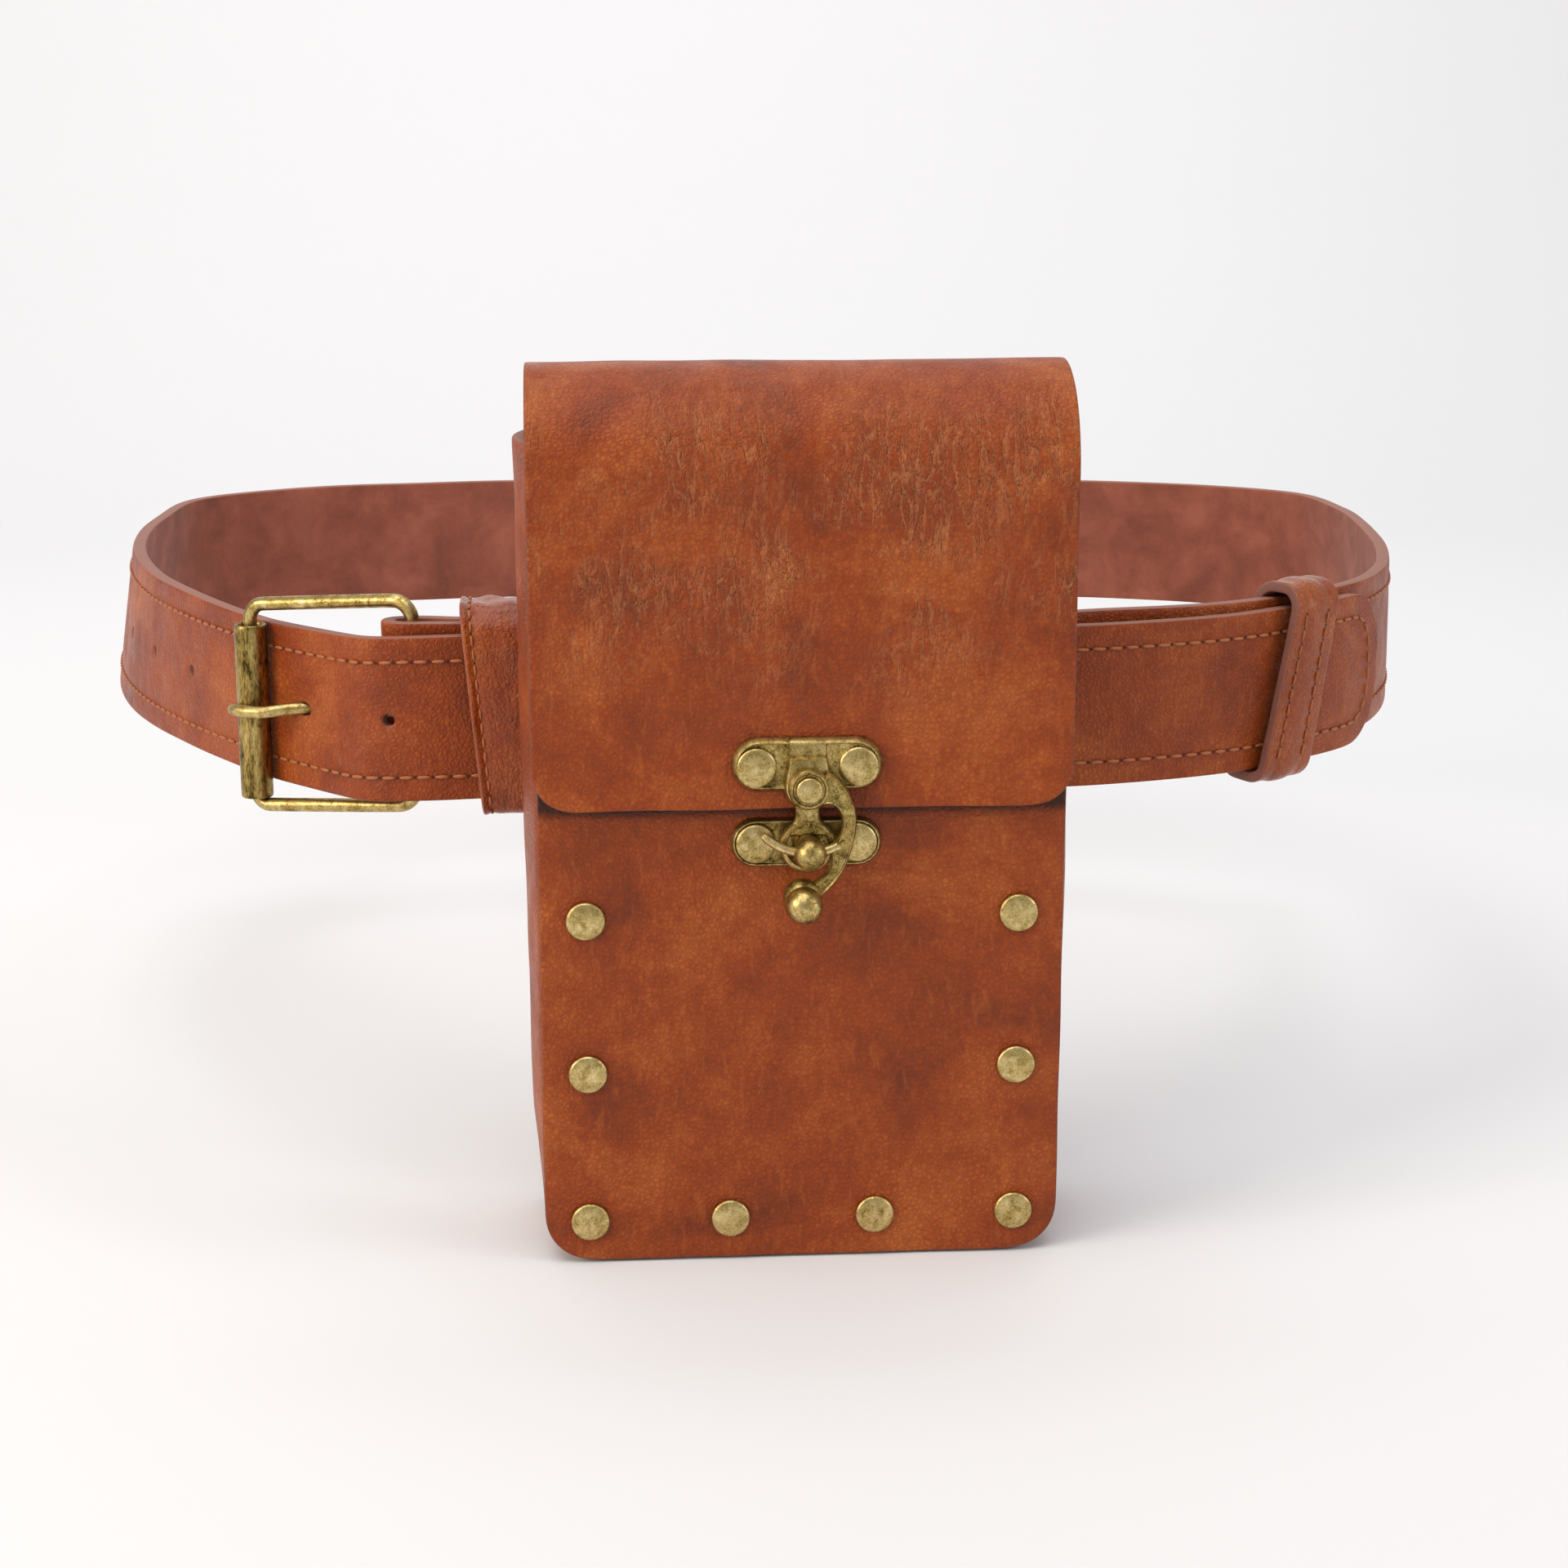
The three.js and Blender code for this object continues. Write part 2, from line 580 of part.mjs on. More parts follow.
// Band round both layers of the belt near the tip
function beltKeeper() {
  const top = beltWidth / 2 + keeperAbove + keeperWall;
  const bottom = -beltWidth / 2 - keeperBelow - keeperWall;
  const rear = -beltThickness - seatGap - keeperWall;
  const front = beltThickness + seatGap + keeperFrontRoom + keeperWall;
  const section = roundedBox(rear, front, bottom, top, keeperCorner);
  section.holes.push(new THREE.Path(roundedBox(
    rear + keeperWall, front - keeperWall, bottom + keeperWall, top - keeperWall, keeperCorner - keeperWall,
  ).getPoints(3)));
  const geometry = new THREE.ExtrudeGeometry(section, {
    depth: keeperWidth, steps: 4, bevelEnabled: false, curveSegments: 3 });
  const corners = geometry.attributes.position;
  const held = onBelt(strapLength - keeperFromTip, 0, 0);
  const middle = nearestAlong(held.x, held.y, 0, strapLength / 2);
  for (let i = 0; i < corners.count; i += 1) {
    const [out, z, along] = [corners.getX(i), corners.getY(i), corners.getZ(i) - keeperWidth / 2];
    const point = onBelt(middle - along + keeperLean * z, out, z, 0);
    corners.setXYZ(i, point.x, point.y, point.z);
  }
  return mesh('belt_keeper', geometry, leatherMaterial);
}

// A place in the buckle frame: from the heel bar towards the roller, and out to the front
function inFrame(reach, out, z) {
  const heel = new THREE.Vector2(heelX, heelY);
  const spot = heel.addScaledVector(frameAlong, reach).addScaledVector(frameOut, out);
  return new THREE.Vector3(spot.x, spot.y, z - (frameSag * reach) / frameLength);
}

const frameTop = beltWidth / 2 + frameAbove;
const frameBottom = -beltWidth / 2 - frameBelow;

function buckleFrame() {
  const corner = (reach, z, radius, fromTurn) => {
    const points = [];
    for (let i = 0; i <= 4; i += 1) {
      const turn = THREE.MathUtils.degToRad(fromTurn + (90 * i) / 4);
      points.push(inFrame(reach + radius * Math.cos(turn), 0, z + radius * Math.sin(turn)));
    }
    return points;
  };
  const [heel, roller] = [frameCornerHeel, frameCornerRoller];
  const points = [
    ...corner(frameLength - roller, frameTop - roller, roller, 0),
    ...corner(heel, frameTop - heel, heel, 90),
    ...corner(heel, frameBottom + heel, heel, 180),
    ...corner(frameLength - roller, frameBottom + roller, roller, 270),
  ];
  const radial = 10;
  const normal = new THREE.Vector3(frameOut.x, frameOut.y, 0);
  const sections = points.map((point, i) => {
    const before = points[(i + points.length - 1) % points.length];
    const after = points[(i + 1) % points.length];
    const tangent = after.clone().sub(before).normalize();
    return { point, side: tangent.cross(normal) };
  });
  const ring = new THREE.TorusGeometry(2, 1, radial, points.length);
  const corners = ring.attributes.position;
  for (let i = 0; i < corners.count; i += 1) {
    const station = Math.floor(i % (points.length + 1)) % points.length;
    const turn = (Math.floor(i / (points.length + 1)) / radial) * 2 * Math.PI;
    const { point, side } = sections[station];
    const spot = point.clone()
      .addScaledVector(side, wireRadius * Math.cos(turn))
      .addScaledVector(normal, wireRadius * Math.sin(turn));
    corners.setXYZ(i, spot.x, spot.y, spot.z);
  }
  return mesh('buckle_frame', ring, brassMaterial);
}

function buckleRoller() {
  const middle = frameBottom - frameSag + rollerRest + rollerLength / 2;
  const half = rollerLength / 2;
  const inner = rollerRadius - rollerWall;
  const profile = [
    [inner, -half], [rollerRadius, -half], [rollerRadius, half], [inner, half], [inner, -half],
  ];
  const points = profile.map(([radius, height]) => new THREE.Vector2(radius, height));
  const tube = new THREE.LatheGeometry(points, 20);
  tube.rotateX(Math.PI / 2).translate(rollerAxis.x, rollerAxis.y, middle);
  return mesh('buckle_roller', tube, brassMaterial);
}

// Prong: an eye round the heel bar, through the hole and over the roller
function buckleProng() {
  const eye = wireRadius + bore + prongRadius;
  const points = [];
  for (let turn = -240; turn <= 90; turn += 30) {
    const angle = THREE.MathUtils.degToRad(turn);
    points.push(new THREE.Vector3(heelX + eye * Math.cos(angle), heelY + eye * Math.sin(angle), 0));
  }
  const off = prongRadius + seatGap;
  const behind = onBelt(prongHole + prongSlope, -beltThickness - off, 0);
  const before = onBelt(prongHole - prongSlope, off, 0);
  points.push(behind, before);
  const over = rollerRadius + 2 * seatGap + prongRadius;
  const lift = frameSag - prongDrop;
  points.push(inFrame(frameLength - over, over, lift));
  points.push(inFrame(frameLength, over, lift));
  points.push(inFrame(frameLength + prongOverhang, over * prongTipDip, lift));
  const path = new THREE.CatmullRomCurve3(points, false, 'centripetal');
  const section = new THREE.Shape();
  section.absarc(0, 0, prongRadius, 0, 2 * Math.PI);
  const geometry = new THREE.ExtrudeGeometry(section, { steps: 44, extrudePath: path, curveSegments: 4 });
  return mesh('buckle_prong', geometry, brassMaterial);
}

// Rivet with a low dome in front and a flat cap behind
function rivet(name, { cap, height, grip, back }, x, y, z) {
  const dome = [[cap, seatGap], [cap, seatGap + height * 0.45], [cap * 0.86, seatGap + height * 0.8]];
  const profile = [[0, seatGap + height], [cap * 0.5, seatGap + height * 0.97], ...dome.reverse()];
  profile.push([rivetShankRadius, seatGap]);
  if (back) {
    const rear = -grip - rivetBackHeight;
    profile.push([rivetShankRadius, -grip], [rivetBackRadius, -grip], [rivetBackRadius, rear], [0, rear]);
  } else {
    profile.push([rivetShankRadius, -grip], [0, -grip]);
  }
  const piece = mesh(name, turned(profile.reverse(), 0, 0, 12), brassMaterial);
  piece.position.set(x, y, z);
  return piece;
}

// Long plate with round ends, a thin floor and a raised edge
function claspPlate(width, height, middleZ, rear) {
  const [half, tall] = [width / 2, height / 2];
  const whole = roundedBox(-half, half, middleZ - tall, middleZ + tall, tall);
  const inside = roundedBox(-half + claspRimWidth, half - claspRimWidth,
    middleZ - tall + claspRimWidth, middleZ + tall - claspRimWidth, tall - claspRimWidth);
  const body = toSolid(plate(whole, rear, claspRim, 5));
  return cut(body, [plate(inside, rear + claspSheet, claspRim, 5)]);
}

const upperRear = seatGap; // distances to the front count from the flap's face
const lowerRear = flapFaceY - panelFaceY + seatGap; // the lower plate lies on the front panel
const hookRear = upperRear + bossHeight + seatGap;
const hookFront = hookRear + hookThickness;

// Edge of the tongue between boss and ring: half width as a share of the ring's radius,
// height as a share of the distance from pivot to post
const bossTopShare = 0.76; // the boss narrows upwards to this share of its width
const tongueEdge = [
  { across: 0.58, z: -0.16 },
  { across: 0.5, z: -0.42 },
  { across: 0.65, z: -0.56 },
  { across: 0.94, z: -0.85 },
];

function claspTopPlate() {
  const boss = new THREE.Shape();
  const bossTop = claspUpperAbovePivot + claspUpperHeight * 0.42;
  boss.moveTo(-bossRadius * bossTopShare, bossTop);
  boss.lineTo(-bossRadius, 0);
  boss.absarc(0, 0, bossRadius, Math.PI, 2 * Math.PI);
  boss.lineTo(bossRadius * bossTopShare, bossTop);
  boss.closePath();
  const tongue = new THREE.Shape();
  const edge = tongueEdge.map(({ across, z }) => new THREE.Vector2(across * ringOuter, z * postDrop));
  tongue.moveTo(-edge[0].x, edge[0].y);
  tongue.splineThru(edge.slice(1).map(({ x, y }) => new THREE.Vector2(-x, y)));
  edge.reverse();
  tongue.lineTo(edge[0].x, edge[0].y);
  tongue.splineThru(edge.slice(1));
  tongue.closePath();
  const tongueRear = upperRear + seatGap;
  const body = claspPlate(claspPlateWidth, claspUpperHeight, claspUpperAbovePivot, upperRear)
    .add(toSolid(plate(boss, upperRear, bossHeight, 6)))
    .add(toSolid(plate(tongue, tongueRear, tongueThickness, 5)))
    .add(toSolid(rod(ringOuter, tongueRear, tongueRear + tongueThickness, 0, -postDrop, 28)));
  const cuts = [
    rod(ringInner, upperRear - cutRoom, hookRear, 0, -postDrop, 28),
    rod(pinRadius + bore, -cutRoom, hookRear + cutRoom, 0, 0),
    ...claspRivets.map((x) => rod(rivetShankRadius + bore, -cutRoom, hookRear, x, claspRivetAbove)),
  ];
  return mesh('clasp_top_plate', toGeometry(cut(body, cuts)), brassMaterial);
}

// Lower plate with a ball-headed post: the hook's finger goes through the post's eye
function claspBottomPlate() {
  const eyeRear = hookRear - seatGap;
  const eyeFront = hookFront + seatGap;
  const post = joined([
    rod(postRadius, lowerRear, eyeFront + ballRadius * 0.4, 0, -postDrop, 20),
    ball(ballRadius, 0, -postDrop, eyeFront + ballRadius * 0.68, 16),
  ]);
  const body = claspPlate(claspPlateWidth, claspLowerHeight, -postDrop, lowerRear).add(post);
  const eyeTop = -Math.sqrt((fingerRadius - fingerWidth / 2) ** 2 - postRadius ** 2) + bore;
  const eyeBottom = -fingerRadius - fingerWidth / 2 - bore;
  const eye = new THREE.BoxGeometry(4 * postRadius, eyeFront - eyeRear, eyeTop - eyeBottom);
  eye.translate(0, -(eyeFront + eyeRear) / 2, (eyeTop + eyeBottom) / 2);
  const holes = claspRivets.map((x) => rod(
    rivetShankRadius + bore, lowerRear - cutRoom, hookRear, x, -postDrop));
  return mesh('clasp_bottom_plate', toGeometry(cut(body, [eye, ...holes])), brassMaterial);
}

// Edges of the hook's arm as shares of the distance from pivot to post
const hookOuterEdge = [
  { x: 0.33, z: 0.27 }, { x: 0.48, z: 0.14 }, { x: 0.67, z: -0.10 }, { x: 0.77, z: -0.42 },
  { x: 0.76, z: -0.71 }, { x: 0.70, z: -1.00 }, { x: 0.57, z: -1.34 }, { x: 0.40, z: -1.59 },
  { x: 0.22, z: -1.77 },
];
const hookLowerGap = [
  { x: 0.04, z: -1.58 }, { x: 0.20, z: -1.46 }, { x: 0.31, z: -1.35 }, { x: 0.355, z: -1.22 },
];
const hookUpperGap = [
  { x: 0.33, z: -0.955 }, { x: 0.44, z: -0.86 }, { x: 0.50, z: -0.75 }, { x: 0.53, z: -0.57 },
  { x: 0.49, z: -0.40 }, { x: 0.37, z: -0.27 }, { x: 0.16, z: -0.27 },
];

function claspHook() {
  const spot = ({ x, z }) => new THREE.Vector2(x * postDrop, z * postDrop);
  const arm = new THREE.Shape();
  arm.moveTo(0, 0);
  arm.lineTo(spot(hookOuterEdge[0]).x, spot(hookOuterEdge[0]).y);
  arm.splineThru(hookOuterEdge.slice(1).map(spot));
  arm.lineTo(knobSide * postDrop, knobDrop * postDrop);
  arm.lineTo(spot(hookLowerGap[0]).x, spot(hookLowerGap[0]).y);
  arm.splineThru(hookLowerGap.slice(1).map(spot));
  arm.lineTo(spot(hookUpperGap[0]).x, spot(hookUpperGap[0]).y);
  arm.splineThru(hookUpperGap.slice(1).map(spot));
  arm.closePath();
  const finger = new THREE.Shape();
  const [inner, outer] = [fingerRadius - fingerWidth / 2, fingerRadius + fingerWidth / 2];
  const [root, tip] = [fingerRoot, fingerTip].map(THREE.MathUtils.degToRad);
  finger.absarc(0, 0, outer, root, tip, true);
  finger.absarc(0, 0, inner, tip, root, false);
  finger.closePath();
  const knobX = knobSide * postDrop;
  const knobZ = knobDrop * postDrop;
  const knobRear = hookRear + hookThickness / 2;
  const body = joined([
    plate(arm, hookRear, hookThickness, 3),
    plate(finger, hookRear + hookThickness * 0.1, hookThickness * 0.8, 7),
    rod(hubRadius, hookRear, hookFront, 0, 0, 24),
    ball(knobBaseRadius, knobX, knobZ, knobRear),
    ball(knobFrontRadius, knobX, knobZ - 0.4, knobRear + knobFrontRadius * 1.1),
  ]);
  const hole = rod(pinRadius + bore, hookRear - cutRoom, hookFront + cutRoom, 0, 0);
  return mesh('clasp_hook', toGeometry(cut(body, [hole])), brassMaterial);
}

function claspPin() {
  const head = hookFront + seatGap;
  const profile = [
    [0, upperRear + seatGap], [pinRadius, upperRear + seatGap], [pinRadius, head], [pinHeadRadius, head],
    [pinHeadRadius, head + pinHeadHeight * 0.7], [pinHeadRadius * 0.85, head + pinHeadHeight],
    [0, head + pinHeadHeight],
  ];
  return mesh('clasp_pivot_pin', turned(profile, 0, 0, 16), brassMaterial);
}

function clasp() {
  const group = new THREE.Group();
  group.position.set(claspX, flapFaceY, pivotZ);
  group.add(claspTopPlate(), claspBottomPlate(), claspHook(), claspPin());
  const look = { cap: claspRivetRadius, height: claspRivetHeight };
  const upper = { ...look, grip: upperRear + claspSheet + leather - 0.1, back: false };
  const lower = { ...look, grip: leather + 2 * seatGap + claspSheet, back: true };
  claspRivets.forEach((x, i) => {
    const side = ['left', 'right'][i];
    group.add(rivet(`clasp_top_rivet_${side}`, upper, x, -upperRear - claspSheet, claspRivetAbove));
    group.add(rivet(`clasp_bottom_rivet_${side}`, lower, x, -lowerRear - claspSheet, -postDrop));
  });
  return group;
}

const pouch = new THREE.Group();
pouch.add(backAndFlap(), frontPanel(), gusset(), beltSleeve());
pouch.add(beltStrap(), beltKeeper());
pouch.add(buckleFrame(), buckleRoller(), buckleProng());
pouch.add(clasp());
const grip = 2 * leather + 2 * seatGap;
const panelGrip = { cap: rivetCapRadius, height: rivetCapHeight, grip, back: true };
rivetPlaces.forEach(({ x, z }, i) => pouch.add(rivet(`panel_rivet_${i + 1}`, panelGrip, x, panelFaceY, z)));

export default pouch;
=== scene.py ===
"""Leather belt pouch in an old style on its fastened belt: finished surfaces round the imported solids."""
import math
from bisect import bisect_right

import bmesh
import bpy
from mathutils import Matrix, Vector, noise


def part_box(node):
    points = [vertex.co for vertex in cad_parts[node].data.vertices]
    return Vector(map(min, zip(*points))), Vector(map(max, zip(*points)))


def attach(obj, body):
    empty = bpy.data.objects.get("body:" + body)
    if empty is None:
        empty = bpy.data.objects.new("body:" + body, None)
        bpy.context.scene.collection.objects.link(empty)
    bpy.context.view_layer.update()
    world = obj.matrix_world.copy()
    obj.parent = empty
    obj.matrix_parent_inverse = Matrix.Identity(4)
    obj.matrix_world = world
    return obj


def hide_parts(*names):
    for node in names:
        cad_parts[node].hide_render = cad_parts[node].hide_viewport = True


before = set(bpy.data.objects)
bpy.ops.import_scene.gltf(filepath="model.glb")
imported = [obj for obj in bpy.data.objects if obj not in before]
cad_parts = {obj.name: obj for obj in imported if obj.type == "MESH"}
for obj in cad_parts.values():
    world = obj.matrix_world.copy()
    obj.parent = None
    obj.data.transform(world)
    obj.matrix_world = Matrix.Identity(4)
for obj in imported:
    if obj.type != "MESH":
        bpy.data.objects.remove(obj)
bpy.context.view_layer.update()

bl_info = {
    "name": "Belt Pouch",
    "version": (1, 0, 0),
    "blender": (4, 5, 0),
    "location": "3D View > Sidebar > Pouch",
    "description": "Makes a leather belt pouch with its belt, buckle and swing clasp",
    "category": "Add Mesh",
}

MM = 0.001
GAP = 0.3 * MM  # room between pieces that touch

# Places of the solids
FLAP_LOW, FLAP_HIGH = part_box("back_and_flap")
PANEL_LOW, PANEL_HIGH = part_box("front_panel")
GUSSET_LOW, GUSSET_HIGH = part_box("gusset")
SLEEVE_LOW, SLEEVE_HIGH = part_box("belt_sleeve")
PIN_LOW, PIN_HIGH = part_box("clasp_pivot_pin")
CLASP_X = (PIN_LOW.x + PIN_HIGH.x) / 2
PIVOT_Z = (PIN_LOW.z + PIN_HIGH.z) / 2
FLAP_FACE = FLAP_LOW.y
PANEL_FACE = PANEL_LOW.y
BACK_FACE = FLAP_HIGH.y
BASE = GUSSET_LOW.z
FOLD_RADIUS = (BACK_FACE - FLAP_FACE) / 2
FOLD_Z = FLAP_HIGH.z - FOLD_RADIUS
FLAP_EDGE = PIVOT_Z - 4.6 * MM
PANEL_RIVETS = [f"panel_rivet_{i}" for i in range(1, 9)]
FORWARD = (0, -1, 0)
KEEPER_LEAN = 0.22  # the keeper's sideways shift per height, its top towards the tip
KEEPER_SEAMS = (-0.24, 0.28)  # its two rows of stitches as shares of its width


def linear(text):
    """Linear colour of an sRGB hex value."""
    shares = [int(text[i:i + 2], 16) / 255 for i in (1, 3, 5)]
    parts = [c / 12.92 if c <= 0.04045 else ((c + 0.055) / 1.055) ** 2.4 for c in shares]
    return (*parts, 1.0)


def length(name, note, value):
    return bpy.props.FloatProperty(
        name=name, description=note, default=value * MM, unit="LENGTH", precision=4)


def colour(name, note, text):
    return bpy.props.FloatVectorProperty(
        name=name, description=note, default=linear(text), size=4, subtype="COLOR", min=0, max=1)


class PouchLeatherSizes(bpy.types.PropertyGroup):
    thickness: length("Leather", "Thickness of the pouch's leather", 2)
    soft_edge: length("Soft edge", "Rounding of the cut edges", 0.4)
    cell: length("Mesh cell", "Size of the mesh's cells on the leather", 2)
    wave: length("Wave", "Height of the leather's slow waves", 0.45)
    pucker: length("Pucker", "Height of the swelling round each rivet", 0.4)
    flap_corner: length("Flap corner", "Radius of the flap's lower corners", 7.5)
    panel_corner: length("Panel corner", "Radius of the front panel's lower corners", 9)
    flange: length("Flange", "Width of the gusset's turned-in edges", 14.5)
    bulge_top: length("Bulge above", "How far the side walls bow out high up", 3.5)
    bulge_bottom: length("Bulge below", "How far the side walls bow out low down", 1.9)
    sleeve_slant: length("Sleeve slant", "How far the sleeve's rim leans in at its lower end", 3.8)
    sleeve_top_corner: length("Sleeve upper corner", "Radius of the sleeve's upper bends", 7)
    sleeve_low_corner: length("Sleeve lower corner", "Radius of the sleeve's lower bends", 3.4)
    sleeve_seam: length("Sleeve seam", "Stitches to the sleeve's rim", 1.9)


class PouchBeltSizes(bpy.types.PropertyGroup):
    width: length("Width", "Width of the belt", 33)
    thickness: length("Thickness", "Thickness of the belt", 3.1)
    loop_width: length("Loop width", "Waist loop from left to right over its outer face", 310.2)
    loop_depth: length("Loop depth", "Waist loop from front to back over its outer face", 248.5)
    loop_shift: length("Loop shift", "The loop's middle right of the pouch's middle", 5.1)
    tab: length("Folded tab", "Strap folded back behind the heel bar", 40)
    tip_radius: length("Tip radius", "Round corners of the free end", 13)
    rear_room: length("Rear room", "Room between the layers beside the pouch", 2.2)
    rear_rise: length("Rear rise", "The rear layer stands this much higher", 1.8)
    hole_pitch: length("Hole pitch", "Distance from hole to hole", 24.2)
    hole_radius: length("Hole radius", "Radius of the punched holes", 1.4)
    seam: length("Seam", "Stitches to the belt's edge", 4.9)
    stitch: length("Stitch", "Pitch of the stitches", 3.55)
    thread: length("Thread", "Thickness of the thread", 0.8)
    keeper_width: length("Keeper width", "Width of the keeper band", 12.5)
    keeper_wall: length("Keeper wall", "Thickness of the keeper band", 2.2)
    keeper_above: length("Keeper above", "Room in the keeper above the belt", 3)
    keeper_below: length("Keeper below", "Room in the keeper below the belt", 0.5)
    keeper_front: length("Keeper front", "Room in the keeper in front of the belt", 2.2)
    keeper_from_tip: length("Keeper to tip", "Middle of the keeper to the end of the strap", 36.5)
    keeper_corner: length("Keeper corner", "Radius of the keeper's bends", 4)


class PouchBuckleSizes(bpy.types.PropertyGroup):
    wire: length("Wire", "Radius of the frame's wire", 1.45)
    heel_x: length("Heel bar", "Place of the heel bar from left to right", -73.6)
    frame_length: length("Frame length", "Roller's axis to the heel bar's axis", 37.5)
    above: length("Above", "Upper bar's axis above the belt", 5.7)
    below: length("Below", "Lower bar's axis below the belt", 3.2)
    roller_corner: length("Roller corner", "Bend of the frame beside the roller", 3.2)
    heel_corner: length("Heel corner", "Bend of the frame beside the heel bar", 4.5)
    sag: length("Sag", "The roller side hangs this much lower", 3.1)
    roller_radius: length("Roller radius", "Outer radius of the roller", 3.3)
    roller_wall: length("Roller wall", "Wall of the roller", 0.8)
    roller_length: length("Roller length", "Length of the roller", 36)
    roller_rest: length("Roller rest", "Roller's lower end above the lower bar's axis", 1.8)
    prong: length("Prong", "Radius of the prong", 1.3)
    prong_hole: length("Prong hole", "Roller to the hole in use, along the belt", 12.9)
    turn: bpy.props.FloatProperty(
        name="Turn", description="The frame's turn seen from above", default=math.radians(-25.8),
        subtype="ANGLE")


class PouchClaspSizes(bpy.types.PropertyGroup):
    width: length("Plate width", "Width of both plates", 28.2)
    upper_height: length("Upper height", "Height of the upper plate", 10.2)
    upper_middle: length("Upper middle", "Middle of the upper plate above the pivot", 3.9)
    lower_height: length("Lower height", "Height of the lower plate", 9.4)
    post_drop: length("Post drop", "Pivot to the post's axis", 11.4)
    post_radius: length("Post radius", "Radius of the post and its ball", 3)
    boss: length("Boss", "Radius of the raised middle under the hook", 4.6)
    boss_height: length("Boss height", "Height of the raised middle", 2.7)
    tongue: length("Tongue", "Thickness of the tongue and its ring", 1.5)
    ring: length("Ring", "Outer radius of the ring round the post", 5.1)
    ring_hole: length("Ring hole", "Radius of the hole in the ring", 3.9)
    hook: length("Hook", "Thickness of the hook", 2)
    hub: length("Hub", "Radius of the hook's round end", 3.8)
    pin_head: length("Pin head", "Radius of the pivot pin's head", 2.45)
    finger_radius: length("Finger bend", "Radius of the finger's bend round the pivot", 12)
    finger: length("Finger", "Width of the finger", 1.6)
    knob_rear: length("Knob collar", "Radius of the knob's rear ball", 3.7)
    knob_front: length("Knob ball", "Radius of the knob's front ball", 3.5)
    rivet_x: length("Rivet place", "Rivets left and right of the middle", 9.4)
    rivet_above: length("Rivet above", "Upper rivets above the pivot", 3.5)
    rivet: length("Rivet", "Radius of the clasp's rivet caps", 3.8)


class PouchColours(bpy.types.PropertyGroup):
    dark: colour("Leather dark", "Darkest clouds of the leather", "#6C2C12")
    middle: colour("Leather", "Main colour of the leather", "#943F10")
    bright: colour("Leather bright", "Brightest clouds of the leather", "#B76228")
    edge: colour("Cut edge", "Cut edges of the leather", "#8E5A49")
    lining: colour("Lining", "Soft inner side of the belt", "#80412F")
    thread: colour("Thread", "Stitching thread", "#AE6636")
    brass: colour("Brass", "Aged brass", "#A1894C")
    brass_bright: colour("Brass bright", "Rubbed brass", "#E2CB92")
    brass_dark: colour("Brass dark", "Darkened brass", "#3E2F18")
    floor: colour("Floor", "Floor and backdrop", "#E5E5E7")


SETTINGS = {
    "pouch_leather": PouchLeatherSizes,
    "pouch_belt": PouchBeltSizes,
    "pouch_buckle": PouchBuckleSizes,
    "pouch_clasp": PouchClaspSizes,
    "pouch_colours": PouchColours,
}


# Materials


COLOURS = {"data_type": "RGBA", "output": 2}  # a Mix node of colours: sockets 0 factor, 6 and 7 the colours


def add(tree, kind, sockets=None, stops=None, output=0, **settings):
    """Adds a node with its settings and links and gives one of its outputs. A socket takes a
    value or another node's output; stops are the places and colours of a ramp."""
    node = tree.nodes.new("ShaderNode" + kind)
    for name, value in settings.items():
        setattr(node, name, value)
    for name, value in (sockets or {}).items():
        if isinstance(value, bpy.types.NodeSocket):
            tree.links.new(value, node.inputs[name])
        else:
            node.inputs[name].default_value = value
    if stops:
        points = node.color_ramp.elements
        for place, _ in stops[1:-1]:
            points.new(place)
        for point, (place, tone) in zip(points, stops):
            point.position, point.color = place, tone
    return node.outputs[output] if node.outputs else None


def per(size):
    """Scale of a texture whose features measure this many millimetres."""
    return 1 / (size * MM)


def grey(value):
    return (value, value, value, 1.0)


def new_material(name):
    """An empty material: its tree and its Object coordinates."""
    material = bpy.data.materials.new(name)
    material.use_nodes = True
    tree = material.node_tree
    tree.nodes.clear()
    return material, tree, add(tree, "TexCoord", output="Object")


